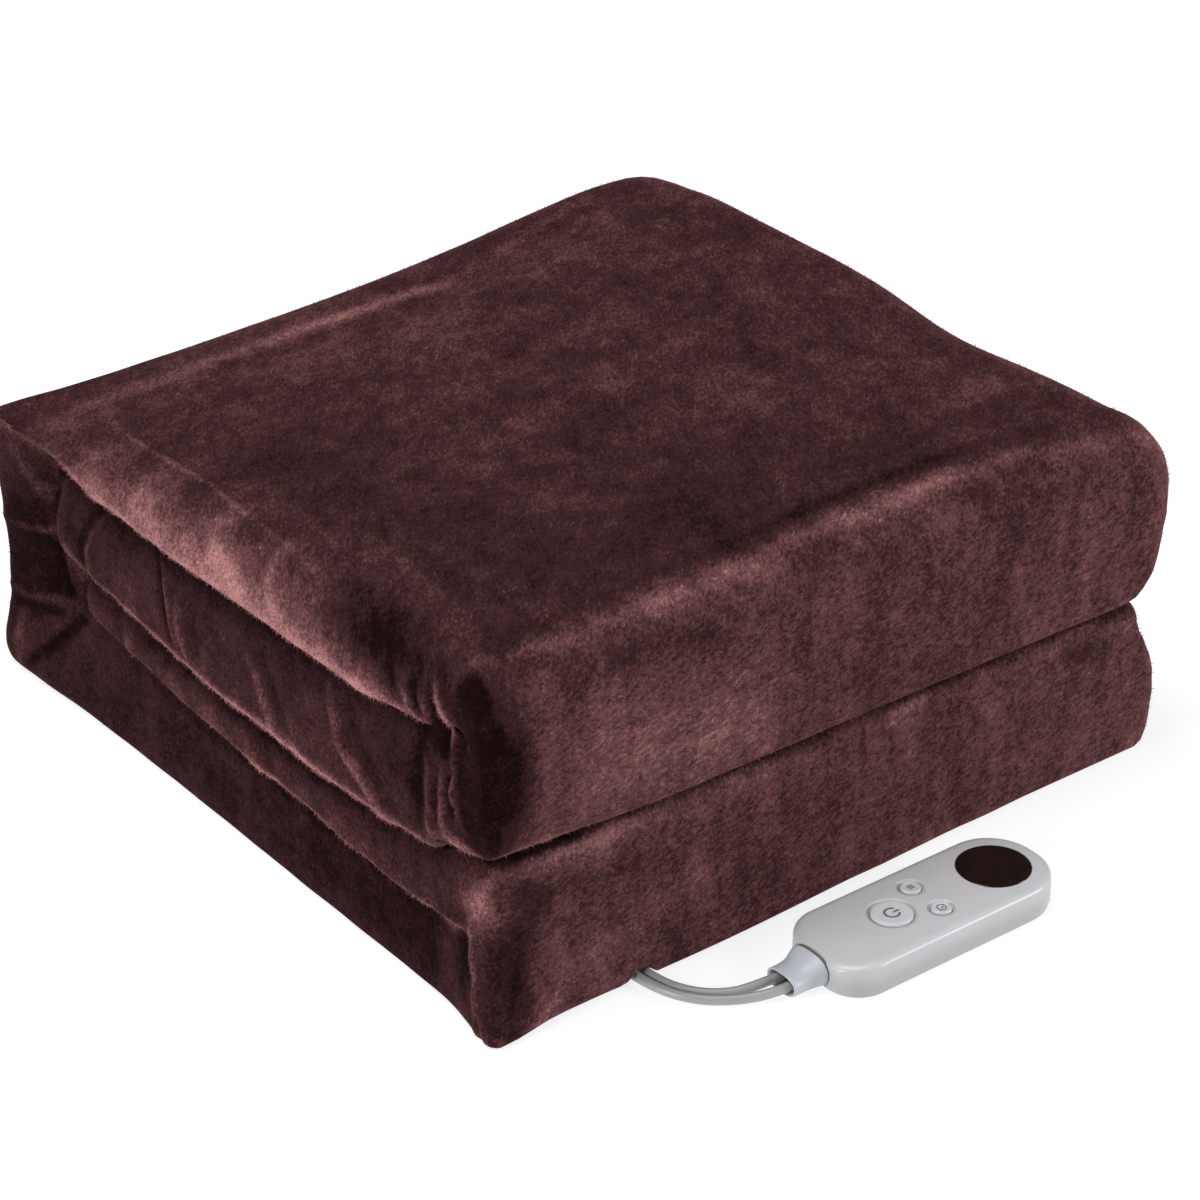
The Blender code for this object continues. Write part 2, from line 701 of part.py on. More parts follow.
def make_plug(body_finish, pin_finish):
    """Build the two-pin plug body with its relief, and its two flat pins."""
    half = PLUG_LENGTH / 2
    rows = (
        # distance from the plug's middle, width, height
        (-half - PLUG_RELIEF, 7.6, 7.6),
        (-half - PLUG_RELIEF * 0.4, 9.0, 8.6),
        (-half - 1.5 * MM, 11.0, 10.0),
        (-half + 0.5 * MM, 19.0, 13.4),
        (-half + 5 * MM, 24.0, 15.4),
        (0.0, 25.0, 16.0),
        (half - 2.0 * MM, 25.0, 16.0),
        (half, 23.0, 14.0),
    )
    rings = []
    for along, width, height in rows:
        ring = []
        for k in range(24):
            turn = 2 * math.pi * k / 24
            across = math.copysign(abs(math.cos(turn)) ** 0.6, math.cos(turn)) * width / 2
            up = math.copysign(abs(math.sin(turn)) ** 0.6, math.sin(turn)) * height / 2
            ring.append((PLUG_X + along, PLUG_Y + across * MM, PLUG_Z + up * MM))
        rings.append(ring)
    plug = loft("plug_body", rings, body_finish)
    smooth(plug, 40)
    for side, name in ((-1, "plug_pin_a"), (1, "plug_pin_b")):
        y = PLUG_Y + side * PIN_SPACING / 2
        start = PLUG_X + half + GAP
        pin = box(
            name,
            (start, y - PIN_THICKNESS / 2, PLUG_Z - PIN_WIDTH / 2),
            (start + PIN_LENGTH, y + PIN_THICKNESS / 2, PLUG_Z + PIN_WIDTH / 2),
            pin_finish,
        )
        bevel(pin, 0.3 * MM, 2)


def main():
    """Build every piece."""
    for obj in list(bpy.data.objects):
        bpy.data.objects.remove(obj)
    pile = material("maroon plush", (0.055, 0.020, 0.022), 0.95)
    shell = material("pale grey plastic", (0.58, 0.58, 0.60), 0.35)
    keys = material("pale grey key plastic", (0.62, 0.62, 0.64), 0.40)
    window = material("dark display window", (0.012, 0.006, 0.006), 0.10)
    lead = material("grey lead sleeve", (0.50, 0.50, 0.50), 0.45)
    metal = material("plated pin", (0.75, 0.73, 0.68), 0.25, 1.0)
    make_cloth(pile)
    make_control(shell, keys, window)
    make_relief(shell)
    make_leads(lead)
    make_coil(lead)
    make_plug(lead, metal)


main()
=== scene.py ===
"""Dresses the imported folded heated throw: plush cloth, hand control, leads, coil and plug.

Metres, +Z up.  The origin is the centre of the cloth's flat underside, X runs along the front
folds and Y from the front folds to the spine.  The cloth's tables are in millimetres measured
from its near bottom corner: x from the left side, y from the front folds, z from the surface.
"""

import logging
import math
from collections.abc import Iterable, Sequence
from dataclasses import dataclass, field
from enum import Enum

import bmesh
import bpy
import numpy as np
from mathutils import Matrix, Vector
from mathutils.bvhtree import BVHTree


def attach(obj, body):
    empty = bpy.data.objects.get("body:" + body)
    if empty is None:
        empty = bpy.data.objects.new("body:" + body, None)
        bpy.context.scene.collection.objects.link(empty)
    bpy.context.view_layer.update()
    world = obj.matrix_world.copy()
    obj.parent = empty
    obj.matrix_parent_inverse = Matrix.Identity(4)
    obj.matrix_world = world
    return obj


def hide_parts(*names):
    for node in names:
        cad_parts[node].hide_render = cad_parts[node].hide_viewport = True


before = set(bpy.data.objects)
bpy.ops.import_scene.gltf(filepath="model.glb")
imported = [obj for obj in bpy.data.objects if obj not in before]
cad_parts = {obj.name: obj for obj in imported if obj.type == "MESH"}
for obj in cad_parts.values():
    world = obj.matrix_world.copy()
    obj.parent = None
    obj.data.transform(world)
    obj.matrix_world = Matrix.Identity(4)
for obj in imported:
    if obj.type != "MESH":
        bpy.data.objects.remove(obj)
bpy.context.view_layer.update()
LOG = logging.getLogger("heated throw")

MM = 0.001
ROOT = "throw_and_control"
Point = tuple[float, float, float]
Colour = tuple[float, float, float]


# ---- node trees and shader maths
class Wiring:
    """Adds nodes to one shader or geometry tree."""

    def __init__(self, tree: bpy.types.NodeTree) -> None:
        """Keep the tree that nodes go into."""
        self.tree = tree

    def feed(self, socket: bpy.types.NodeSocket, value: object) -> None:
        """Give a socket a link or a plain value.

        Args:
            socket: the input socket.
            value: a Value, an output socket, or a number, colour, vector or data block.
        """
        source = value.socket if isinstance(value, Value) else value
        if isinstance(source, bpy.types.NodeSocket):
            self.tree.links.new(source, socket)
        else:
            socket.default_value = source

    def node(
        self, kind: str, settings: dict[str, object] | None = None, sockets: dict | None = None
    ) -> bpy.types.Node:
        """Make any node.

        Args:
            kind: the node's type name.
            settings: its own settings; "stops" are a ramp's (position, colour) pairs.
            sockets: values or links of its input sockets, by name or number.

        Returns:
            The node.
        """
        made = self.tree.nodes.new(kind)
        for name, value in (settings or {}).items():
            if name == "stops":
                self._set_stops(made.color_ramp, value)
            else:
                setattr(made, name, value)
        for name, value in (sockets or {}).items():
            self.feed(made.inputs[name], value)
        return made

    @staticmethod
    def _set_stops(ramp: bpy.types.ColorRamp, stops: Sequence[tuple[float, Colour]]) -> None:
        """Give a colour ramp its stops.

        Args:
            ramp: the ramp.
            stops: (position, colour) pairs in rising order.
        """
        while len(ramp.elements) < len(stops):
            ramp.elements.new(1.0)
        for element, (position, colour) in zip(ramp.elements, stops):
            element.position = position
            element.color = (*colour, 1.0)

    def value(self, kind: str, settings: dict | None, sockets: dict, output: object = 0) -> "Value":
        """Make a node and wrap one of its outputs for shader maths."""
        return Value(self, self.node(kind, settings, sockets).outputs[output])

    def attribute(self, name: str) -> "Value":
        """Return a number that the mesh holds at its points."""
        return self.value("ShaderNodeAttribute", {"attribute_name": name}, {}, "Fac")

    def stored(self, name: str) -> "Value":
        """Return the same, read in a geometry tree."""
        return self.value("GeometryNodeInputNamedAttribute", None, {"Name": name}, "Attribute")

    def noise(self, at: object, scale: float, detail: float = 2.0, rough: float = 0.5) -> "Value":
        """Return noise about 0, roughly from -0.5 to 0.5.

        Args:
            at: the coordinates that it is read at.
            scale: how many features fit in a metre.
            detail: octaves.
            rough: how strong the finer octaves are.

        Returns:
            The centred noise.
        """
        sockets = {"Vector": at, "Scale": scale, "Detail": detail, "Roughness": rough}
        return self.value("ShaderNodeTexNoise", {"noise_dimensions": "3D"}, sockets) - 0.5

    def mapped(self, turn: Point, stretch: Point) -> bpy.types.NodeSocket:
        """Return Object coordinates, turned and then stretched.

        Args:
            turn: angles in degrees about the axes.
            stretch: factors along the axes.

        Returns:
            The coordinates' socket.
        """
        at = self.node("ShaderNodeTexCoord").outputs["Object"]
        angles = tuple(math.radians(a) for a in turn)
        for change in ({"Rotation": angles}, {"Scale": stretch}):
            at = self.node("ShaderNodeMapping", None, {"Vector": at, **change}).outputs["Vector"]
        return at

    def bump(self, shader: bpy.types.Node, height: object, strength: float, depth: float) -> None:
        """Give a shader's normal a relief.

        Args:
            shader: the shader.
            height: the relief's height, from 0 to 1.
            strength: of the relief.
            depth: what a height of 1 stands for, in metres.
        """
        sockets = {"Strength": strength, "Distance": depth, "Height": height}
        relief = self.node("ShaderNodeBump", None, sockets)
        self.feed(shader.inputs["Normal"], relief.outputs["Normal"])

    def blend(self, share: object, first: object, second: object) -> bpy.types.NodeSocket:
        """Mix two colours.

        Args:
            share: how much of the second colour.
            first: a colour or a link.
            second: a colour or a link.

        Returns:
            The mixed colour's socket.
        """
        made = self.node("ShaderNodeMix", {"data_type": "RGBA"}, {"Factor": share})
        for socket, colour in ((made.inputs[6], first), (made.inputs[7], second)):
            self.feed(socket, (*colour, 1.0) if isinstance(colour, tuple) else colour)
        return made.outputs[2]


class Value:
    """One number socket, on which maths is written as Python expressions."""

    def __init__(self, wiring: Wiring, socket: bpy.types.NodeSocket) -> None:
        """Wrap an output socket."""
        self.wiring = wiring
        self.socket = socket

    def _math(self, operation: str, *terms: object) -> "Value":
        """Add one Math node on terms."""
        settings = {"operation": operation}
        return self.wiring.value("ShaderNodeMath", settings, dict(enumerate(terms)))

    def __add__(self, other: object) -> "Value":
        """Return self + other."""
        return self._math("ADD", self, other)

    def __radd__(self, other: object) -> "Value":
        """Return other + self."""
        return self._math("ADD", other, self)

    def __sub__(self, other: object) -> "Value":
        """Return self - other."""
        return self._math("SUBTRACT", self, other)

    def __rsub__(self, other: object) -> "Value":
        """Return other - self."""
        return self._math("SUBTRACT", other, self)

    def __mul__(self, other: object) -> "Value":
        """Return self * other."""
        return self._math("MULTIPLY", self, other)

    def __rmul__(self, other: object) -> "Value":
        """Return other * self."""
        return self._math("MULTIPLY", other, self)

    def __truediv__(self, other: object) -> "Value":
        """Return self / other."""
        return self._math("DIVIDE", self, other)

    def __pow__(self, other: object) -> "Value":
        """Return self to the power of other."""
        return self._math("POWER", self, other)

    def clamped(self) -> "Value":
        """Return self, held between 0 and 1."""
        return self.wiring.value("ShaderNodeClamp", None, {"Value": self})

    def stepped(self, low: float, high: float) -> "Value":
        """Return a smooth step from 0 at low to 1 at high."""
        sockets = {"Value": self, "From Min": low, "From Max": high}
        return self.wiring.value("ShaderNodeMapRange", {"interpolation_type": "SMOOTHSTEP"}, sockets)


# ---- finishes
@dataclass(frozen=True)
class Finish:
    """What every finish has: a material of its own with one Principled shader.

    Attributes:
        name: the material's name.
        colour: its main colour, linear.
        roughness: its main roughness.
    """

    name: str
    colour: Colour
    roughness: float

    def material(self) -> bpy.types.Material:
        """Make the material on first use.

        Returns:
            The material.
        """
        found = bpy.data.materials.get(self.name)
        if found is None:
            found = bpy.data.materials.new(self.name)
            found.use_nodes = True
            shader = found.node_tree.nodes["Principled BSDF"]
            shader.inputs["Base Color"].default_value = (*self.colour, 1.0)
            shader.inputs["Roughness"].default_value = self.roughness
            self.dress(Wiring(found.node_tree), shader)
        return found

    def dress(self, wiring: Wiring, shader: bpy.types.Node) -> None:
        """Add what makes this finish more than one colour."""
        raise NotImplementedError


@dataclass(frozen=True)
class Plush(Finish):
    """Short plush pile whose colour carries painted light and shade besides its own mottling.

    Attributes:
        lying_and_shaded: darkest colour, of pile lying flat and of painted shade.
        brushed_and_lit: paler colour, of pile stood up by brushing and of painted light.
        tip: colour of painted highlights, where the pile's tips catch the light.
        glint: how many times paler than the tip colour the brightest painted glint is.
        lean: degrees by which the pile's streaks rise along the front faces.
        combed: degrees by which its mottles turn as seen from above.
        relief: height of the pile's relief in metres.
    """

    lying_and_shaded: Colour
    brushed_and_lit: Colour
    tip: Colour
    glint: float = 1.3
    lean: float = 18.0
    combed: float = -52.3
    relief: float = 0.0014

    def dress(self, wiring: Wiring, shader: bpy.types.Node) -> None:
        """Mottle the pile, add streaks, bright tufts and a soft sheen, and paint in light and shade.

        Args:
            wiring: adds nodes to the material's tree.
            shader: its Principled shader.
        """
        plain = wiring.mapped((0, 0, 0), (1, 1, 1))
        along = wiring.mapped((0, self.lean, 0), (0.42, 1, 1))
        upright = wiring.mapped((0, 0, 0), (1, 1, 0.3))
        combed = wiring.mapped((0, 0, self.combed), (0.5, 1, 1))
        nap_and_painted_light, side = wiring.attribute("nap_and_painted_light"), wiring.attribute("side")
        clouds = wiring.noise(plain, 16, 3, 0.6)
        patches = wiring.noise(upright, 48, 4, 0.66)
        mottles = wiring.noise(combed, 150, 3, 0.62)
        flecks = wiring.noise(combed, 620, 2, 0.7)
        streaks = wiring.noise(along, 560, 2, 0.65)
        grain = wiring.noise(plain, 1200, 1, 0.5)
        specks = wiring.noise(combed, 340, 3, 0.7).stepped(0.10, 0.24)
        # Painted rim highlight: the pile is paler where it is seen edge-on.
        rim = wiring.value("ShaderNodeLayerWeight", None, {"Blend": 0.5}, "Facing") ** 4.0
        standing = nap_and_painted_light * (0.9 - nap_and_painted_light * 0.4)
        shade = nap_and_painted_light + clouds * (0.42 - side * 0.16) + patches * (standing + 0.22)
        shade = shade + mottles * 0.40 + rim * 0.26
        strands = streaks * (side * 0.85 + 0.08) + flecks * (1.25 - side * 0.35) + grain * 0.35
        shade = shade + strands * (standing + 0.36)
        shade = shade + specks * (clouds + 0.08) * (1.0 - side) * 1.5
        share = (shade / 1.25).clamped()
        # The ramp runs from painted shade through the maroon to painted highlights.
        stops = (
            (0.00, self.lying_and_shaded),
            (0.28, self.colour),
            (0.54, self.brushed_and_lit),
            (0.80, self.tip),
            (1.00, tuple(c * self.glint for c in self.tip)),
        )
        pile = wiring.node("ShaderNodeValToRGB", {"stops": stops}, {"Fac": share})
        wiring.feed(shader.inputs["Base Color"], pile.outputs["Color"])
        wiring.feed(shader.inputs["Roughness"], 0.96 - share * 0.14)
        height = mottles * 0.7 + flecks * 0.5 + streaks * side * 0.5 + grain * 0.3
        wiring.bump(shader, height, 0.8, self.relief)
        shader.inputs["Sheen Weight"].default_value = 0.03
        shader.inputs["Sheen Roughness"].default_value = 0.40
        shader.inputs["Sheen Tint"].default_value = (1.0, 0.36, 0.38, 1.0)
        shader.inputs["Specular IOR Level"].default_value = 0.02


@dataclass(frozen=True)
class Moulded(Finish):
    """Moulded plastic: faint cloudiness, fine spark-eroded grain, painted shade edge-on and at its
    foot.

    Attributes:
        grain: height of the grain in metres.
        clouding: how far the colour wanders.
        foot: how much painted shade darkens it next to the surface that it lies on.
        foot_height: height above which it is no darker, in metres.
    """

    grain: float = 0.00002
    clouding: float = 0.05
    foot: float = 0.0
    foot_height: float = 0.0172

    def dress(self, wiring: Wiring, shader: bpy.types.Node) -> None:
        """Vary colour and roughness slightly, paint shade edge-on and at the foot, and add the grain.

        Args:
            wiring: adds nodes to the material's tree.
            shader: its Principled shader.
        """
        plain = wiring.mapped((0, 0, 0), (1, 1, 1))
        clouds = wiring.noise(plain, 60, 3)
        fine = wiring.noise(plain, 2600, 1)
        darker = tuple(c * 0.70 for c in self.colour)
        # Painted shade: darker where the surface is seen edge-on.
        rim = wiring.value("ShaderNodeLayerWeight", None, {"Blend": 0.5}, "Facing") ** 4.0
        share = 0.25 + clouds * self.clouding * 8 + fine * 0.2 + rim * 2.2
        # Painted shade: darker towards the base, where foot is set.
        if self.foot:
            height = wiring.value("ShaderNodeSeparateXYZ", None, {"Vector": plain}, "Z")
            share = share + (1.0 - (height / self.foot_height).stepped(0.0, 1.0)) * self.foot
        colour = wiring.blend(share.clamped(), self.colour, darker)
        wiring.feed(shader.inputs["Base Color"], colour)
        wiring.feed(shader.inputs["Roughness"], self.roughness + clouds * 0.10 + fine * 0.08)
        wiring.bump(shader, fine, 0.5, self.grain)
        shader.inputs["Coat Weight"].default_value = 0.12
        shader.inputs["Coat Roughness"].default_value = 0.25


@dataclass(frozen=True)
class TintedWindow(Finish):
    """Dark tinted window with the faintest of wiping marks."""

    def dress(self, wiring: Wiring, shader: bpy.types.Node) -> None:
        """Let the gloss wander a little.

        Args:
            wiring: adds nodes to the material's tree.
            shader: its Principled shader.
        """
        wipes = wiring.noise(wiring.mapped((0, 0, 35), (1, 0.25, 1)), 120, 3)
        wiring.feed(shader.inputs["Roughness"], self.roughness + wipes * 0.06)
        warm = tuple(c * 2.2 for c in self.colour)
        colour = wiring.blend((0.3 + wipes).clamped(), self.colour, warm)
        wiring.feed(shader.inputs["Base Color"], colour)


@dataclass(frozen=True)
class PlatedMetal(Finish):
    """Nickel-plated metal with fine drawing marks."""

    def dress(self, wiring: Wiring, shader: bpy.types.Node) -> None:
        """Draw marks along the pins.

        Args:
            wiring: adds nodes to the material's tree.
            shader: its Principled shader.
        """
        marks = wiring.noise(wiring.mapped((0, 0, 0), (0.1, 1, 1)), 900, 2)
        wiring.feed(shader.inputs["Roughness"], self.roughness + marks * 0.12)
        wiring.feed(shader.inputs["Metallic"], 1.0)
        wiring.bump(shader, marks, 0.3, 0.00002)


@dataclass(frozen=True)
class PaleGround(Finish):
    """Plain pale studio ground.

    Attributes:
        glow: how strongly it shines, so that it stays white under the soft lights.
    """

    glow: float = 0.78

    def dress(self, wiring: Wiring, shader: bpy.types.Node) -> None:
        """Keep it plain but for the faintest unevenness.

        Args:
            wiring: adds nodes to the material's tree.
            shader: its Principled shader.
        """
        clouds = wiring.noise(wiring.mapped((0, 0, 0), (1, 1, 1)), 3, 2)
        wiring.feed(shader.inputs["Roughness"], self.roughness + clouds * 0.1)
        shader.inputs["Emission Color"].default_value = (1.0, 1.0, 1.0, 1.0)
        shader.inputs["Emission Strength"].default_value = self.glow


# The pile's colours run from painted shade through its maroon to painted highlights.
PLUSH = Plush(
    "maroon_plush",
    (0.043, 0.0165, 0.0184),
    0.95,
    lying_and_shaded=(0.0070, 0.0024, 0.0026),
    brushed_and_lit=(0.135, 0.0560, 0.0580),
    tip=(0.320, 0.155, 0.152),
)
# The shell is darker towards its base: painted shade.
SHELL = Moulded("pale_grey_shell", (0.545, 0.545, 0.565), 0.36, foot=1.1)
KEYCAP = Moulded("pale_grey_keys", (0.60, 0.60, 0.62), 0.38)
RELIEF = Moulded("pale_relief", (0.50, 0.53, 0.57), 0.45)
# Painted shade: a near-black colour inside the strain relief's recess and along its joint with the
# shell.
RECESS_SHADE = Moulded("relief_recess_shade", (0.10, 0.10, 0.10), 0.7)
SLEEVE = Moulded("grey_lead_sleeve", (0.36, 0.36, 0.355), 0.34, clouding=0.08)
INK = Moulded("grey_key_ink", (0.12, 0.12, 0.13), 0.55)
PLUG_SHELL = Moulded("grey_plug_shell", (0.36, 0.36, 0.355), 0.42)
TIE = Moulded("dark_tie_strap", (0.05, 0.05, 0.05), 0.8, grain=0.0002)
WINDOW = TintedWindow("tinted_window", (0.0065, 0.0040, 0.0035), 0.12)
PINS = PlatedMetal("plated_pins", (0.74, 0.72, 0.68), 0.26)
GROUND = PaleGround("pale_ground", (0.30, 0.30, 0.30), 0.9)


# ---- mesh helpers
def piece(
    name: str, points: Iterable, faces: Iterable, finish: Finish, sharp: float = 35.0
) -> bpy.types.Object:
    """Make a mesh object whose place is in its mesh.

    Args:
        name: the piece's name.
        points: its points.
        faces: its faces, pointing outwards.
        finish: what it is dressed in.
        sharp: edges that turn more than this many degrees stay sharp.

    Returns:
        The object, linked into the scene.
    """
    mesh = bpy.data.meshes.new(name)
    mesh.from_pydata([tuple(p) for p in points], [], [tuple(f) for f in faces])
    mesh.shade_smooth()
    mesh.set_sharp_from_angle(angle=math.radians(sharp))
    mesh.materials.append(finish.material())
    made = bpy.data.objects.new(name, mesh)
    bpy.context.scene.collection.objects.link(made)
    return made


def tidy_normals(obj: bpy.types.Object) -> None:
    """Merge doubles and point a closed mesh's faces outwards.

    Args:
        obj: the mesh object.
    """
    bm = bmesh.new()
    bm.from_mesh(obj.data)
    bmesh.ops.remove_doubles(bm, verts=bm.verts, dist=0.000002)
    bmesh.ops.recalc_face_normals(bm, faces=bm.faces)
    bm.to_mesh(obj.data)
    bm.free()


def tube_faces(rows: int, count: int) -> np.ndarray:
    """Return the corners of a tube's faces, as numbers of its points.

    Args:
        rows: rings along the tube.
        count: points in each ring.

    Returns:
        One row of four numbers for each face.
    """
    index = np.arange(rows * count).reshape(rows, count)
    a, b = index[:-1], index[1:]
    return np.stack([a, np.roll(a, -1, 1), np.roll(b, -1, 1), b], axis=2).reshape(-1, 4)


def lofted(name: str, rings: Sequence, finish: Finish, sharp: float = 35.0) -> bpy.types.Object:
    """Join rings into one body with closed ends.

    Args:
        name: the piece's name.
        rings: loops of equally many points.
        finish: what it is dressed in.
        sharp: edges that turn more than this many degrees stay sharp.

    Returns:
        The object.
    """
    count = len(rings[0])
    points = [p for ring in rings for p in ring]
    ends = [range(count)[::-1], range(len(points) - count, len(points))]
    faces = [*tube_faces(len(rings), count).tolist(), *ends]
    made = piece(name, points, faces, finish, sharp)
    tidy_normals(made)
    return made


def oval(
    x: float, middle: tuple[float, float], size: tuple[float, float],
    powers: tuple[float, float], count: int,
) -> list[Point]:  # fmt: skip
    """Return an upright ring across X, squarer than an ellipse.

    Args:
        x: where it stands.
        middle: its middle's y and z.
        size: its width and height.
        powers: of the cosine and sine; 1 is an ellipse and less is squarer.
        count: points round it.

    Returns:
        The points in metres.
    """
    ring = []
    for k in range(count):
        turn = 2 * math.pi * k / count
        c, s = math.cos(turn), math.sin(turn)
        across = math.copysign(abs(c) ** powers[0], c) * size[0] / 2
        up = math.copysign(abs(s) ** powers[1], s) * size[1] / 2
        ring.append((x, middle[0] + across, middle[1] + up))
    return ring


def turned(
    name: str,
    profile: Sequence[tuple[float, float]],
    centre: tuple[float, float],
    finish: Finish,
    steps: int = 64,
    sharp: float = 35.0,
) -> bpy.types.Object:
    """Turn a profile of (radius, height) points about a vertical axis and close its ends.

    Args:
        name: the piece's name.
        profile: its points from the top of the axis round to the bottom, in metres.
        centre: the axis's x and y.
        finish: what it is dressed in.
        steps: faces round it.
        sharp: edges that turn more than this many degrees stay sharp.

    Returns:
        The object.
    """
    turns = [2 * math.pi * k / steps for k in range(steps)]
    rings = [
        [(centre[0] + r * math.cos(t), centre[1] + r * math.sin(t), z) for t in turns]
        for r, z in profile
    ]
    return lofted(name, rings, finish, sharp)


def baked(obj: bpy.types.Object) -> bpy.types.Object:
    """Turn an object's evaluated shape into a plain mesh.

    Args:
        obj: the object with its modifiers, which is removed.

    Returns:
        A mesh object of the same name.
    """
    bpy.context.view_layer.update()
    graph = bpy.context.evaluated_depsgraph_get()
    mesh = bpy.data.meshes.new_from_object(obj.evaluated_get(graph), depsgraph=graph)
    name = obj.name
    bpy.data.objects.remove(obj)
    made = bpy.data.objects.new(name, mesh)
    bpy.context.scene.collection.objects.link(made)
    return made


def cut_out(obj: bpy.types.Object, tools: Sequence[bpy.types.Object]) -> bpy.types.Object:
    """Cut tools out of an object and remove the tools.

    Args:
        obj: the object.
        tools: closed meshes.

    Returns:
        The plain mesh object.
    """
    for tool in tools:
        change = obj.modifiers.new(tool.name, "BOOLEAN")
        change.operation = "DIFFERENCE"
        change.solver = "EXACT"
        change.object = tool
    made = baked(obj)
    for tool in tools:
        bpy.data.objects.remove(tool)
    return made


def smooth_path(points: Sequence[Point], step: float) -> list[Point]:
    """Read evenly spaced points from a centripetal Catmull-Rom curve.

    Args:
        points: given points of a route.
        step: spacing of what is returned, in metres.

    Returns:
        Points along the smooth route.
    """
    route = [Vector(p) for p in points]
    route = [route[0] * 2 - route[1], *route, route[-1] * 2 - route[-2]]
    fine: list[Vector] = []
    for p0, p1, p2, p3 in zip(route, route[1:], route[2:], route[3:]):
        knots = [0.0]
        for a, b in ((p0, p1), (p1, p2), (p2, p3)):
            knots.append(knots[-1] + math.sqrt((b - a).length))
        for k in range(24):
            t = knots[1] + (knots[2] - knots[1]) * k / 24
            level = [p0, p1, p2, p3]
            for span in (1, 2, 3):
                pairs = zip(level, level[1:], knots, knots[span:])
                level = [a.lerp(b, (t - low) / (high - low)) for a, b, low, high in pairs]
            fine.append(level[0])
    fine.append(route[-2])
    return even_path([tuple(p) for p in fine], step)


def even_path(points: Sequence[Point], step: float) -> list[Point]:
    """Space a dense path's points evenly.

    Args:
        points: the dense path.
        step: about how far apart they shall lie, in metres.

    Returns:
        The new points.
    """
    dense = np.array(points)
    run = np.concatenate([[0.0], np.cumsum(np.linalg.norm(np.diff(dense, axis=0), axis=1))])
    at = np.linspace(0.0, run[-1], max(4, round(run[-1] / step)) + 1)
    columns = [np.interp(at, run, dense[:, axis]) for axis in range(3)]
    return [tuple(float(c) for c in p) for p in zip(*columns)]


def path_length(points: Sequence[Point]) -> float:
    """Return a path's length in metres."""
    return float(np.linalg.norm(np.diff(np.array(points), axis=0), axis=1).sum())


def ease(share: float) -> float:
    """Return a smooth step of a share held between 0 and 1."""
    held = min(1.0, max(0.0, share))
    return held * held * (3 - 2 * held)


def settle(obj: bpy.types.Object, body: str, slot: str, *nodes: str) -> None:
    """Give a finished piece its body and hide the CAD nodes that it replaces.

    Args:
        obj: the piece.
        body: the CAD body that it moves with.
        slot: its material slot; not used.
        nodes: the CAD nodes, if any.
    """
    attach(obj, body)
    if nodes:
        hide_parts(*nodes)
    LOG.info("%s: %d faces", obj.name, len(obj.data.polygons))


# ---- geometry node trees
@dataclass(frozen=True)
class GeometryTree:
    """A Geometry Nodes tree with named inputs, run once on an object.

    Attributes:
        name: the tree's name.
        inputs: (name, socket type, value) of each input after the geometry.
    """

    name: str
    inputs: tuple[tuple[str, str, object], ...]

    def start(self) -> tuple[bpy.types.NodeTree, Wiring, bpy.types.Node]:
        """Open the tree with its named inputs.

        Returns:
            The tree, its wiring and its group input.
        """
        tree = bpy.data.node_groups.new(self.name, "GeometryNodeTree")
        tree.interface.new_socket("Geometry", in_out="INPUT", socket_type="NodeSocketGeometry")
        for name, kind, _ in self.inputs:
            tree.interface.new_socket(name, in_out="INPUT", socket_type=kind)
        tree.interface.new_socket("Geometry", in_out="OUTPUT", socket_type="NodeSocketGeometry")
        wiring = Wiring(tree)
        return tree, wiring, wiring.node("NodeGroupInput")

    @staticmethod
    def end(wiring: Wiring, shape: bpy.types.NodeSocket, finish: object) -> None:
        """Realize the shape's instances, give it its material and put it out.

        Args:
            wiring: of the tree.
            shape: what the tree has made.
            finish: the material or its socket.
        """
        real = wiring.node("GeometryNodeRealizeInstances", None, {"Geometry": shape})
        sockets = {"Geometry": real.outputs["Geometry"], "Material": finish}
        dressed = wiring.node("GeometryNodeSetMaterial", None, sockets)
        wiring.node("NodeGroupOutput", None, {0: dressed.outputs["Geometry"]})

    def run(self, tree: bpy.types.NodeTree, obj: bpy.types.Object) -> bpy.types.Object:
        """Run the tree on an object with this class's input values.

        Args:
            tree: the finished tree.
            obj: the object that it changes.

        Returns:
            A plain mesh object of the same name.
        """
        change = obj.modifiers.new(self.name, "NODES")
        change.node_group = tree
        sockets = {s.name: s.identifier for s in tree.interface.items_tree if s.in_out == "INPUT"}
        for name, _, value in self.inputs:
            change[sockets[name]] = value
        return baked(obj)


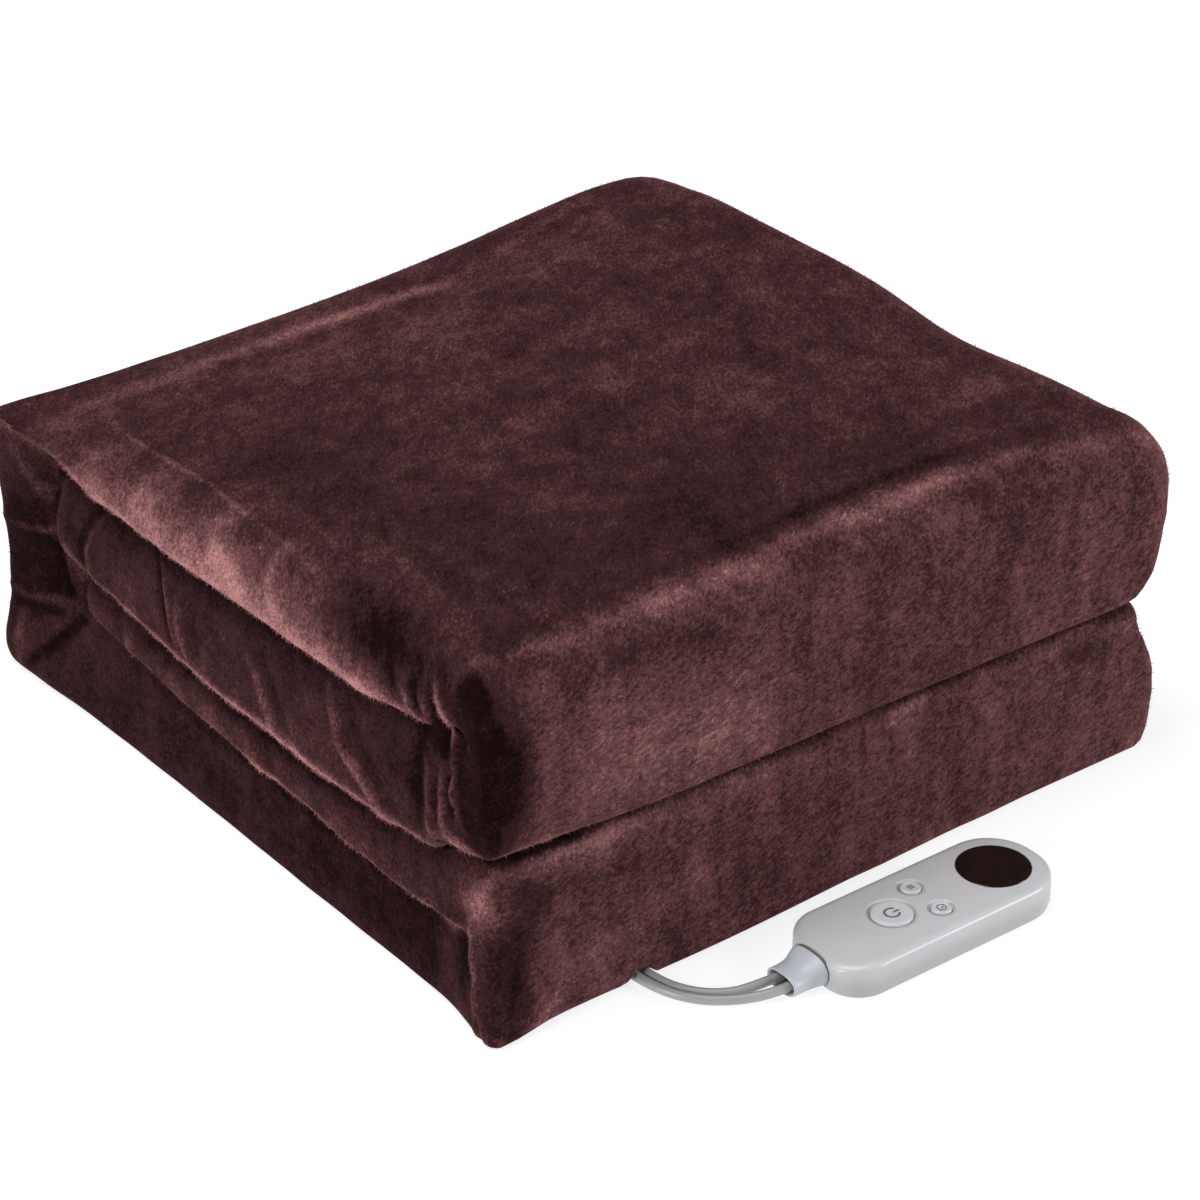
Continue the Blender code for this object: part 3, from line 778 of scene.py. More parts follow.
def round_tube(
    name: str, path: Sequence[Point], radius: float, sides: int, finish: Finish
) -> bpy.types.Object:
    """Sweep a circle along a path with Geometry Nodes.

    Args:
        name: the piece's name.
        path: points of the centreline.
        radius: the tube's radius in metres.
        sides: faces round it.
        finish: what it is dressed in.

    Returns:
        The tube as a plain mesh with closed ends.
    """
    curve = bpy.data.curves.new(name, "CURVE")
    curve.dimensions = "3D"
    spline = curve.splines.new("POLY")
    spline.points.add(len(path) - 1)
    for knot, p in zip(spline.points, path):
        knot.co = (*p, 1.0)
    obj = bpy.data.objects.new(name, curve)
    bpy.context.scene.collection.objects.link(obj)
    sweep = GeometryTree(
        "sweep_" + name,
        (
            ("Radius", "NodeSocketFloat", radius),
            ("Sides", "NodeSocketInt", sides),
            ("Finish", "NodeSocketMaterial", finish.material()),
        ),
    )
    tree, wiring, given = sweep.start()
    sockets = {"Resolution": given.outputs["Sides"], "Radius": given.outputs["Radius"]}
    circle = wiring.node("GeometryNodeCurvePrimitiveCircle", None, sockets).outputs["Curve"]
    sockets = {"Curve": given.outputs["Geometry"], "Profile Curve": circle, "Fill Caps": True}
    tube = wiring.node("GeometryNodeCurveToMesh", None, sockets)
    smooth = wiring.node("GeometryNodeSetShadeSmooth", None, {"Geometry": tube.outputs["Mesh"]})
    sweep.end(wiring, smooth.outputs["Geometry"], given.outputs["Finish"])
    made = sweep.run(tree, obj)
    tidy_normals(made)
    made.data.set_sharp_from_angle(angle=math.radians(60))
    return made


# ---- studio
@dataclass
class Studio:
    """Camera at the photo's angle, soft lights and a plain pale ground.

    Attributes:
        target: the point that the camera looks at.
        azimuth: its direction in degrees, 0 looking along +Y.
        elevation: its height over the horizon in degrees.
        distance: from the target, in metres.
        lens: focal length in millimetres on a 36 mm sensor.
        lights: each soft light's name, place, side in metres and power in watts.
        ambient: strength of the light from all round.
    """

    target: Point = (-0.0235, -0.0541, 0.0903)
    azimuth: float = -37.72
    elevation: float = 29.1
    distance: float = 1.768
    lens: float = 103.3
    lights: tuple[tuple[str, Point, float, float], ...] = (
        ("overhead_softbox", (-0.45, 0.45, 2.3), 1.4, 46.0),
        ("right_softbox", (1.9, -2.0, 1.0), 0.9, 56.0),
        ("left_softbox", (-2.1, -0.3, 0.8), 0.7, 27.0),
    )
    ambient: float = 0.12

    def build(self) -> None:
        """Make the camera, the lights and the ground."""
        self.camera()
        for row in self.lights:
            self.light(*row)
        world = bpy.data.worlds.new("studio")
        world.use_nodes = True
        background = world.node_tree.nodes["Background"]
        background.inputs["Color"].default_value = (1.0, 1.0, 1.0, 1.0)
        background.inputs["Strength"].default_value = self.ambient
        bpy.context.scene.world = world
        bpy.context.scene.view_settings.view_transform = "Standard"
        half = 6.0
        corners = [(-half, -half, 0), (half, -half, 0), (half, half, 0), (-half, half, 0)]
        ground = piece("ground", corners, [(0, 1, 2, 3)], GROUND)

    def camera(self) -> None:
        """Make the camera and have the scene use it."""
        turn, rise = math.radians(self.azimuth), math.radians(self.elevation)
        back = Vector(
            (math.sin(turn) * math.cos(rise), -math.cos(turn) * math.cos(rise), math.sin(rise))
        )
        data = bpy.data.cameras.new("photo_camera")
        data.lens = self.lens
        data.sensor_width = 36.0
        made = bpy.data.objects.new("photo_camera", data)
        made.location = Vector(self.target) + back * self.distance
        made.rotation_mode = "QUATERNION"
        made.rotation_quaternion = (-back).to_track_quat("-Z", "Y")
        bpy.context.scene.collection.objects.link(made)
        bpy.context.scene.camera = made

    @staticmethod
    def light(name: str, place: Point, size: float, power: float) -> None:
        """Add a square soft light that faces the throw.

        Args:
            name: the light's name.
            place: where it hangs.
            size: its side in metres.
            power: in watts.
        """
        data = bpy.data.lights.new(name, "AREA")
        data.size = size
        data.energy = power
        made = bpy.data.objects.new(name, data)
        made.location = place
        aim = Vector((0.0, 0.0, 0.08)) - Vector(place)
        made.rotation_mode = "QUATERNION"
        made.rotation_quaternion = aim.to_track_quat("-Z", "Y")
        bpy.context.scene.collection.objects.link(made)


# ---- hand control's place, shared
@dataclass(frozen=True)
class ControlPlan:
    """Where the hand control lies and how large it is, in metres.

    Attributes:
        length: of its shell, along X.
        height: of its shell.
        x: its middle.
        y: its middle.
        relief_length: how far the strain relief stands out of its left end.
        relief_y: the strain relief's middle.
        relief_z: height of the leads in it.
        lead_spacing: between the two leads there.
    """

    length: float = 0.147
    height: float = 0.018
    x: float = -0.0005
    y: float = -0.2805
    relief_length: float = 0.016
    relief_y: float = -0.2789
    relief_z: float = 0.0061
    lead_spacing: float = 0.0092

    @property
    def left(self) -> float:
        """Return x of the end from which the leads come."""
        return self.x - self.length / 2

    @property
    def relief_end(self) -> float:
        """Return x of the strain relief's outer end."""
        return self.left - self.relief_length


PLAN = ControlPlan()
LEAD_D = 0.005
LEAD_Z = 0.0026


# ---- leads
@dataclass
class Coil:
    """The mains lead's unseen length, wound clockwise behind the spine.

    Attributes:
        x: centre.
        y: centre.
        lane: radius at which the lead comes in and leaves.
        stations: (degrees turned from the left, radius, height), the last two in millimetres.
            Three turns run inwards, three run outwards on them and one lies on top; each
            passes from its lane to the next a diameter clear of the turn before it.
    """

    x: float = -0.078
    y: float = 0.271
    lane: float = 0.0378
    stations: tuple[tuple[float, float, float], ...] = (
        (0, 37.8, 2.6), (18, 36.0, 2.85), (34, 33.0, 3.3), (48, 32.3, 3.4), (275, 32.3, 3.4),
        (345, 27.1, 3.4), (635, 27.1, 3.4), (705, 21.9, 3.4), (983, 21.9, 3.4), (1018, 20.8, 6.0),
        (1052, 21.9, 8.6), (1333, 21.9, 8.6), (1394, 27.2, 8.6), (1690, 27.1, 8.6),
        (1750, 32.4, 8.6), (2050, 32.5, 8.6), (2075, 33.9, 11.4), (2092, 32.9, 13.9),
        (2112, 31.0, 13.9), (2132, 29.7, 13.3), (2345, 29.7, 13.3), (2375, 32.4, 14.0),
        (2398, 35.9, 13.0), (2420, 38.2, 10.6), (2440, 39.0, 9.0), (2480, 38.4, 6.8),
        (2515, 38.4, 7.9), (2537, 38.2, 7.9), (2553, 38.2, 6.3), (2570, 38.0, 4.4),
        (2592, 37.8, 2.8), (2610, 37.8, 2.6),
    )  # fmt: skip

    def path(self) -> list[Point]:
        """Wind the lead from the left of the coil to where its tail leaves at the back.

        Returns:
            Points along the turns, 60 to a turn.
        """
        stations = np.array(self.stations)
        turns = np.arange(0.0, stations[-1, 0] + 1.0, 6.0)
        soft = (0.1, 0.2, 0.4, 0.2, 0.1)
        radius, height = (
            np.convolve(np.pad(np.interp(turns, stations[:, 0], values), 2, "edge"), soft, "valid")
            for values in (stations[:, 1] * MM, stations[:, 2] * MM)
        )
        angle = np.radians(180.0 - turns)
        across, along = self.x + radius * np.cos(angle), self.y + radius * np.sin(angle)
        return [tuple(float(c) for c in p) for p in zip(across, along, height)]


@dataclass
class Leads:
    """Both leads of the hand control, the coil, its tie and the plug.

    Attributes:
        inside: how far into the strain relief's recess a lead starts.
        coil: the mains lead's winding.
        plug_x: middle of the plug.
        plug_z: its height.
        plug_shift: how far it lies towards the throw from the coil's back.
        plug_reach: from its middle to where the lead goes in.
        sides: faces round a lead.
    """

    inside: float = 0.005
    coil: Coil = field(default_factory=Coil)
    plug_x: float = 0.0
    plug_z: float = 0.008
    plug_shift: float = 0.0005
    plug_reach: float = 0.037
    sides: int = 18

    @property
    def plug_y(self) -> float:
        """Return y of the plug's middle."""
        return self.coil.y + self.coil.lane - self.plug_shift

    def blanket_route(self) -> list[Point]:
        """Give the listed route of the lead that feeds the throw.

        Returns:
            Its points.
        """
        y = PLAN.relief_y + PLAN.lead_spacing / 2
        return [
            (PLAN.relief_end + self.inside, y, PLAN.relief_z),
            (PLAN.relief_end - 0.0005, y, PLAN.relief_z),
            (-0.0990, -0.2726, 0.0053),
            (-0.1090, -0.2688, 0.0036),
            (-0.1195, -0.2605, LEAD_Z),
            (-0.1275, -0.2490, LEAD_Z),
            (-0.1312, -0.2350, LEAD_Z),
            (-0.1321, -0.2080, LEAD_Z),
            (-0.1321, -0.1200, LEAD_Z),
            (-0.1321, 0.0000, LEAD_Z),
            (-0.1321, 0.1300, LEAD_Z),
        ]

    def mains_route(self) -> list[Point]:
        """Give the listed route of the mains lead up to its coil.

        Returns:
            Its points.
        """
        y = PLAN.relief_y - PLAN.lead_spacing / 2
        return [
            (PLAN.relief_end + self.inside, y, PLAN.relief_z),
            (PLAN.relief_end - 0.0005, y, PLAN.relief_z),
            (-0.0995, -0.2812, 0.0052),
            (-0.1105, -0.2750, 0.0036),
            (-0.1230, -0.2645, LEAD_Z),
            (-0.1318, -0.2520, LEAD_Z),
            (-0.1364, -0.2370, LEAD_Z),
            (-0.1377, -0.2220, LEAD_Z),
            (-0.1379, -0.1200, LEAD_Z),
            (-0.1379, 0.0000, LEAD_Z),
            (-0.1379, 0.1200, LEAD_Z),
            (-0.1376, 0.2130, LEAD_Z),
            (-0.1325, 0.2340, LEAD_Z),
            (-0.1222, 0.2510, LEAD_Z),
            (self.coil.x - self.coil.lane, self.coil.y, LEAD_Z),
        ]

    def tail_route(self) -> list[Point]:
        """Give the listed route from the coil's back to the plug.

        Returns:
            Its points.
        """
        y = self.coil.y + self.coil.lane
        end = self.plug_x - self.plug_reach
        return [
            (self.coil.x, y, LEAD_Z),
            (self.coil.x + 0.003, y, LEAD_Z),
            (self.coil.x + 0.014, y, 0.0032),
            (self.coil.x + 0.026, y - 0.0003, 0.0056),
            (end - 0.0005, self.plug_y, self.plug_z),
            (end + 0.004, self.plug_y, self.plug_z),
        ]

    def build(self) -> None:
        blanket = smooth_path(self.blanket_route(), 0.004)
        lead = round_tube("blanket_flex", blanket, LEAD_D / 2, self.sides, SLEEVE)
        settle(lead, ROOT, "lead_sleeve", "blanket_lead")
        LOG.info("%s: %.3f m", lead.name, path_length(blanket))

        route = [*self.mains_route()[:-1], *self.coil.path(), *self.tail_route()[1:]]
        mains = smooth_path(route, 0.003)
        flex = round_tube("mains_flex", mains, LEAD_D / 2, self.sides, SLEEVE)
        settle(flex, ROOT, "lead_sleeve", "mains_lead", "lead_coil", "mains_tail")
        plug, tie = self.plug(), self.tie()
        LOG.info("%s: %.3f m", flex.name, path_length(mains))

    def plug(self) -> bpy.types.Object:
        """Make the plug's body with its slender relief, and dress the pins.

        Returns:
            The body.
        """
        rows = (
            # distance from the plug's middle, width, height and squareness, in millimetres
            (-37.0, 7.0, 7.0, 1.0), (-36.6, 7.6, 7.6, 1.0), (-30.0, 8.0, 8.0, 1.0),
            (-22.0, 8.8, 8.4, 1.0), (-17.0, 10.6, 9.6, 0.9), (-15.0, 14.0, 11.4, 0.75),
            (-13.0, 18.6, 13.2, 0.66), (-10.0, 23.0, 15.0, 0.6), (-6.0, 24.8, 15.8, 0.56),
            (0.0, 25.0, 16.0, 0.55), (8.0, 24.6, 15.8, 0.55), (12.5, 24.6, 15.8, 0.52),
            (13.0, 25.0, 16.0, 0.5), (14.6, 25.0, 16.0, 0.5), (15.0, 24.2, 15.2, 0.5),
        )  # fmt: skip
        rings = [
            oval(
                self.plug_x + along * MM, (self.plug_y, self.plug_z), (width * MM, height * MM),
                (square, square), 48,
            )
            for along, width, height, square in rows
        ]  # fmt: skip
        body = lofted("plug_shell", rings, PLUG_SHELL, 50)
        settle(body, ROOT, "plug_shell", "plug_body")
        for name in ("plug_pin_a", "plug_pin_b"):
            dress_node(name, PINS)
        return body

    def tie(self) -> bpy.types.Object:
        """Make the strap that holds the coil's turns together.

        Returns:
            The strap.
        """
        inner, outer, low, high = 0.0188, 0.0354, 0.0008, 0.0172
        thick, width, corner = 0.0007, 0.009, 0.003
        half, middle = (outer - inner) / 2, (outer + inner) / 2
        rise, level = (high - low) / 2, (high + low) / 2
        loops = []
        for side, grow in ((-1, 0.0), (1, 0.0), (1, thick), (-1, thick)):
            outline = rounded_outline(half + grow, rise + grow, corner + grow, 6)
            y = self.coil.y + side * width / 2
            loops.append([(self.coil.x + middle + px, y, level + py) for px, py in outline])
        points = [p for loop in loops for p in loop]
        faces = tube_faces(len(loops) + 1, len(loops[0])) % len(points)
        strap = piece("coil_tie", points, faces.tolist(), TIE, 40)
        tidy_normals(strap)
        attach(strap, ROOT)
        return strap


def rounded_outline(
    half_x: float, half_y: float, corner: float, steps: int
) -> list[tuple[float, float]]:
    """Return a rectangle's outline with rounded corners, about its centre.

    Args:
        half_x: half its length.
        half_y: half its width.
        corner: its corners' radius.
        steps: points in each corner less one.

    Returns:
        The points, counter-clockwise.
    """
    points = []
    for quadrant, (sx, sy) in enumerate(((1, 1), (-1, 1), (-1, -1), (1, -1))):
        for k in range(steps + 1):
            turn = math.radians(90 * (quadrant + k / steps))
            x = sx * (half_x - corner) + corner * math.cos(turn)
            y = sy * (half_y - corner) + corner * math.sin(turn)
            points.append((x, y))
    return points


def dress_node(name: str, finish: Finish) -> None:
    """Give a carried-over CAD node its finish.

    Args:
        name: the node's name.
        finish: what it is dressed in.
    """
    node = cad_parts[name]
    node.data.materials.clear()
    node.data.materials.append(finish.material())


# ---- hand control
class Mark(Enum):
    """The generic sign on a key."""

    POWER = "power"
    HEAT = "heat"
    TIMER = "timer"


@dataclass(frozen=True)
class Key:
    """One round key.

    Attributes:
        node: the CAD node that it stands for.
        body: the CAD body that it moves with.
        x: its axis.
        y: its axis.
        radius: in metres.
        mark: the sign on it.
    """

    node: str
    body: str
    x: float
    y: float
    radius: float
    mark: Mark


@dataclass
class HandControl:
    """The hand control: shell, window, keys with their signs, and strain relief.

    Attributes:
        window_x: the window's axis.
        window_r: its radius.
        keys: the three keys.
        proud: how far a key stands over the shell.
        clearance: round each key and the window.
        level_reach: how far to the left of the middle the shell's top stays level.
        bow_reach: from there to its left end.
        bow: how far its top is bowed down at that end.
    """

    window_x: float = PLAN.x + 0.045
    window_r: float = 0.0187
    keys: tuple[Key, ...] = (
        Key("power_key", "power_button", PLAN.x - 0.0215, PLAN.y, 0.0106, Mark.POWER),
        Key("heat_key", "heat_button", PLAN.x + 0.0005, PLAN.y + 0.011, 0.0052, Mark.HEAT),
        Key("timer_key", "timer_button", PLAN.x + 0.0005, PLAN.y - 0.011, 0.0052, Mark.TIMER),
    )
    proud: float = 0.0005
    clearance: float = 0.0003
    level_reach: float = 0.046
    bow_reach: float = 0.025
    bow: float = 0.0024

    def build(self) -> None:
        """Make every piece of the control."""
        self.shell()
        self.window()
        for key in self.keys:
            self.key(key)
        self.relief()
        self.cover()

    def shell(self) -> None:
        """Make the shell with its softly rounded top, wells and pocket."""
        profile = (
            # height, inset, both in millimetres
            (3.0, 0.6), (3.2, 0.2), (3.6, 0.0), (9.0, 0.0), (14.6, 0.15), (15.9, 0.4),
            (16.8, 0.95), (17.4, 1.7), (17.75, 2.6), (17.93, 3.6), (18.0, 4.8), (18.0, 8.0),
            (18.0, 12.0), (18.0, 17.0),
        )  # fmt: skip
        body = lofted("control_shell", self.rings(profile), SHELL)
        top = PLAN.height
        cutters = []
        for key in self.keys:
            r = key.radius + self.clearance
            well = [
                (r + 0.0030, top + 0.0020), (r + 0.0022, top + 0.0001), (r + 0.0017, top - 0.0002),
                (r + 0.0011, top - 0.0007), (r + 0.0005, top - 0.0010), (r, top - 0.0011),
                (r, top - 0.0031),
            ]  # fmt: skip
            cutters.append(turned(key.node + "_well", well, (key.x, key.y), SHELL))
        r = self.window_r + self.clearance * 0.6
        pocket = [
            (r + 0.0001, top + 0.002), (r + 0.0001, top), (r, top - 0.0002), (r, top - 0.0018),
        ]  # fmt: skip
        cutters.append(turned("window_pocket", pocket, (self.window_x, PLAN.y), SHELL))
        body = cut_out(body, cutters)
        for vertex in body.data.vertices:
            left = max(0.0, PLAN.x - vertex.co.x - self.level_reach) / self.bow_reach
            vertex.co.z -= self.bow * left**2 * (vertex.co.z / top) ** 3
        body.data.shade_smooth()
        body.data.set_sharp_from_angle(angle=math.radians(32))
        even = body.modifiers.new("even shading", "WEIGHTED_NORMAL")
        even.keep_sharp = True
        settle(baked(body), ROOT, "control_shell", "control_housing")

    def cover(self) -> None:
        """Make the cover under the shell, a hair smaller than it."""
        profile = ((0.0, 2.0), (0.25, 1.1), (0.9, 0.6), (2.0, 0.45), (3.0, 0.45))
        base = lofted("control_cover", self.rings(profile), SHELL)
        settle(base, ROOT, "control_shell", "control_base")

    def rings(self, profile: Sequence[tuple[float, float]]) -> list[list[Point]]:
        """Place the shell's outline at each height of a profile.

        Args:
            profile: (height, inset) pairs in millimetres.

        Returns:
            One loop of points for each.
        """
        return [
            [(PLAN.x + px, PLAN.y + py, up) for px, py, up in self.outline(z, inset)]
            for z, inset in profile
        ]

    @staticmethod
    def outline(height: float, inset: float) -> list[Point]:
        """Return the shell's outline about the control's middle, its right end the rounder one.

        Args:
            height: of the outline, in millimetres.
            inset: how far it lies inside the widest outline, in millimetres.

        Returns:
            The points in metres.
        """
        ends = ((71.8, 27.6, 26.0), (-71.0, 27.6, 20.0), (-71.0, -28.8, 19.0), (71.8, -28.8, 26.0))
        points = []
        for quadrant, (end_x, end_y, corner) in enumerate(ends):
            sx, sy = math.copysign(1.0, end_x), math.copysign(1.0, end_y)
            for k in range(21):
                turn = math.radians(90 * (quadrant + k / 20))
                x = end_x - sx * corner + (corner - inset) * math.cos(turn)
                y = end_y - sy * corner + (corner - inset) * math.sin(turn)
                points.append((x * MM, y * MM, height * MM))
        return points

    def window(self) -> None:
        """Make the dark window, crowned a little and set flush."""
        top, r = PLAN.height, self.window_r
        profile = [(r * k / 8, top + 0.0002 - 0.0001 * (k / 8) ** 2) for k in range(1, 8)]
        profile += [
            (r - 0.0004, top + 0.00006), (r - 0.0001, top - 0.0001), (r, top - 0.0004),
            (r, top - 0.0015),
        ]  # fmt: skip
        pane = turned("control_window", profile, (self.window_x, PLAN.y), WINDOW, 96, 60)
        settle(pane, ROOT, "display", "display_window")

    def key(self, key: Key) -> None:
        """Make one key with a dished top, and its sign.

        Args:
            key: the key.
        """
        top, r = PLAN.height + self.proud, key.radius
        profile = [
            (r * 0.15, top - 0.00028), (r * 0.4, top - 0.00025), (r * 0.6, top - 0.00016),
            (r * 0.78, top - 0.00004), (r - 0.0011, top), (r - 0.0006, top - 0.00012),
            (r - 0.0002, top - 0.00045), (r, top - 0.0009), (r, top - 0.0024),
        ]  # fmt: skip
        cap = turned(key.node + "_cap", profile, (key.x, key.y), KEYCAP, 64, 50)
        settle(cap, key.body, "control_keys", key.node)
        sign = self.sign(key)
        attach(sign, key.body)
        LOG.info("%s: the %s sign", sign.name, key.mark.value)

    def sign(self, key: Key) -> bpy.types.Object:
        """Print a key's sign as a thin raised layer; a sign's up is +X.

        Args:
            key: the key.

        Returns:
            The sign.
        """
        strokes: list[tuple[list[tuple[float, float]], float]] = []
        if key.mark is Mark.POWER:
            strokes.append((arc(3.7, 34, 326), 1.0))
            strokes.append(([(0.6, 0.0), (4.3, 0.0)], 0.9))
        elif key.mark is Mark.TIMER:
            strokes.append((arc(2.3, 0, 350), 0.62))
            strokes.append(([(1.35, 0.0), (0.0, 0.0), (0.0, -1.1)], 0.55))
            strokes.append(([(-1.9, -1.6), (-2.6, -2.2)], 0.62))
        else:
            for shift in (-0.9, 0.0, 0.9):
                wave = [(-1.8 + 0.3 * k, shift * 1.3 + 0.3 * math.sin(k * 1.05)) for k in range(13)]
                strokes.append((wave, 0.5))
        level = PLAN.height + self.proud - 0.00030
        points: list[Point] = []
        faces: list[tuple[int, ...]] = []
        for line, width in strokes:
            self.stroke(points, faces, line, width, (key.x, key.y, level))
        made = piece(key.node + "_sign", points, faces, INK, 30)
        tidy_normals(made)
        return made

    @staticmethod
    def stroke(
        points: list[Point],
        faces: list[tuple[int, ...]],
        line: Sequence[tuple[float, float]],
        width: float,
        origin: Point,
    ) -> None:
        """Add one flat stroke with square ends to a sign's mesh.

        Args:
            points: the mesh's points so far.
            faces: its faces so far.
            line: the stroke's middle in millimetres.
            width: its width in millimetres.
            origin: the sign's place, at the layer's underside.
        """
        thick, dish, dish_radius = 0.00014, 0.00022, 0.0064
        first = len(points)
        middle = np.array(line)
        way = np.gradient(middle, axis=0)
        way /= np.linalg.norm(way, axis=1, keepdims=True)
        side = np.stack([-way[:, 1], way[:, 0]], axis=1) * width / 2
        for centre, off in zip(middle, side):
            reach = math.hypot(*centre)
            rise = dish * min(1.0, (reach * MM / dish_radius) ** 2)
            for edge, z in ((off, 0.0), (off, thick), (-off, thick), (-off, 0.0)):
                x, y = (centre + edge) * MM
                points.append((origin[0] + x, origin[1] + y, origin[2] + rise + z))
        faces.extend((tube_faces(len(line), 4) + first).tolist())
        last = first + 4 * (len(line) - 1)
        faces.append((first + 3, first + 2, first + 1, first))
        faces.append((last, last + 1, last + 2, last + 3))

    def relief(self) -> None:
        """Make the flared oval strain relief with the recess that both leads come out of."""
        rows = (
            # distance from the shell's end, width, height and middle's height, in millimetres
            (6.0, 17.0, 9.0, 6.1), (3.4, 26.6, 15.8, 8.6), (2.9, 26.6, 15.8, 8.6),
            (2.4, 26.5, 15.7, 8.55), (1.9, 26.3, 15.6, 8.5), (1.4, 26.2, 15.5, 8.45),
            (0.9, 26.0, 15.4, 8.4), (0.4, 25.6, 15.1, 8.25), (-0.1, 25.2, 14.9, 8.1),
            (-0.6, 24.8, 14.6, 8.0), (-1.1, 24.4, 14.4, 7.9), (-1.6, 24.0, 14.1, 7.75),
            (-3.0, 22.8, 13.3, 7.3), (-5.5, 21.3, 12.2, 6.6),
            (-8.0, 20.6, 11.6, 6.3), (-11.0, 20.4, 11.2, 6.1), (-14.0, 20.6, 11.2, 6.1),
            (-15.2, 20.7, 11.3, 6.1), (-15.8, 20.3, 11.0, 6.1), (-16.0, 19.4, 10.2, 6.1),
            (-15.7, 18.4, 9.2, 6.1), (-14.0, 17.6, 8.4, 6.1), (-9.5, 17.0, 7.8, 6.1),
        )  # fmt: skip
        rings = [
            oval(
                PLAN.left + along * MM, (PLAN.relief_y, middle * MM), (width * MM, height * MM),
                (0.75, 0.85), 56,
            )
            for along, width, height, middle in rows
        ]  # fmt: skip
        sleeve = lofted("lead_relief", rings, RELIEF, 60)
        sleeve.data.materials.append(RECESS_SHADE.material())
        end = sorted((y, x) for x, y, _ in self.outline(14.0, 0.2) if x < -0.045)
        rim, floor, half_recess, joint = 0.0035, 0.0020, 0.0084, 0.0007
        # Painted shade: the recess's floor and a strip along the joint with the shell take the
        # near-black colour.
        for face in sleeve.data.polygons:
            x, y = face.center.x, face.center.y
            deep = PLAN.relief_end + rim < x < PLAN.left - floor
            inward = abs(y - PLAN.relief_y) < half_recess and abs(face.normal.x) > 0.7
            wall = PLAN.x + float(np.interp(y - PLAN.y, *zip(*end)))
            face.material_index = int(deep and inward or x > wall - joint)
        settle(sleeve, ROOT, "control_shell", "strain_relief")


def arc(radius: float, start: float, end: float) -> list[tuple[float, float]]:
    """Draw an arc about the origin.

    Args:
        radius: of the arc.
        start: its first angle in degrees from +X.
        end: its last angle.

    Returns:
        Its points.
    """
    steps = 28
    turns = (math.radians(start + (end - start) * k / steps) for k in range(steps + 1))
    return [(radius * math.cos(t), radius * math.sin(t)) for t in turns]


# ---- the folded cloth
class Face(Enum):
    """Side of the strip that a crease is drawn on: its two drawing axes and its way out."""

    LEFT = (1, 2, (-1.0, 0.0, 0.0))
    FRONT = (0, 2, (0.0, -1.0, 0.0))
    TOP = (0, 1, (0.0, 0.0, 1.0))

    @property
    def axes(self) -> list[int]:
        """Return the numbers of the two axes that a crease is drawn in."""
        return list(self.value[:2])

    @property
    def outward(self) -> np.ndarray:
        """Return the direction in which the side faces."""
        return np.array(self.value[2])


class Form(Enum):
    """Cross-section of a crease."""

    SOFT = "soft"
    LAP = "lap"


@dataclass(frozen=True)
class Layer:
    """One flat layer of the folded strip, in millimetres.

    Attributes:
        near: y of its end at the front folds.
        far: y of its end at the spine.
        under: heights of its underside at its near end, middle and far end.
        over: the same of its upper side.
    """

    near: float
    far: float
    under: tuple[float, float, float]
    over: tuple[float, float, float]


@dataclass(frozen=True)
class Fold:
    """A fold between two layers, in millimetres.

    Attributes:
        low: height of its foot.
        high: height of its crest.
        low_round: radius of its lower rounding.
        high_round: radius of its upper rounding.
        face: y of its upright face.
        crease: y of the crease on its inner side.
        low_draw: how far its right edge is drawn in on its lower half.
        high_draw: the same on its upper half.
    """

    low: float
    high: float
    low_round: float
    high_round: float
    face: float
    crease: float
    low_draw: float = 0.0
    high_draw: float = 0.0


@dataclass(frozen=True)
class SideEdges:
    """How a stretch's left and right edges are shaped.

    Attributes:
        left: share of the thickness at which the left edge stands out most, widths of its outer
            and inner roundings, and how far it stays inside the width.
        right: the same of the right edge.
    """

    left: tuple[float, float, float, float]
    right: tuple[float, float, float, float]


@dataclass(frozen=True)
class Crease:
    """A trough, ridge or band on one side of the folded strip, with painted light or shade along it.

    Attributes:
        stretches: names of the stretches that it crosses.
        face: the side that it is drawn on.
        depth: its height in millimetres, below zero for a trough.
        width: half its width in millimetres.
        nap_and_painted_light: painted light on the pile along it; below zero, painted shade.
        line: its points on that side, in millimetres.
        form: soft on both sides, or a lap that falls off steeply to its line's left.
    """

    stretches: str
    face: Face
    depth: float
    width: float
    nap_and_painted_light: float
    line: tuple[tuple[float, float], ...]
    form: Form = Form.SOFT


@dataclass(frozen=True)
class Droop:
    """How far a layer's left rim hangs down, by distance from the front folds, in millimetres.

    Attributes:
        back: distances from the front folds.
        down: how far the rim hangs at each.
        out: how far it stands out at its middle.
        outer: whether the strip's outer side is the layer's lower side.
    """

    back: tuple[float, ...]
    down: tuple[float, ...]
    out: float
    outer: bool


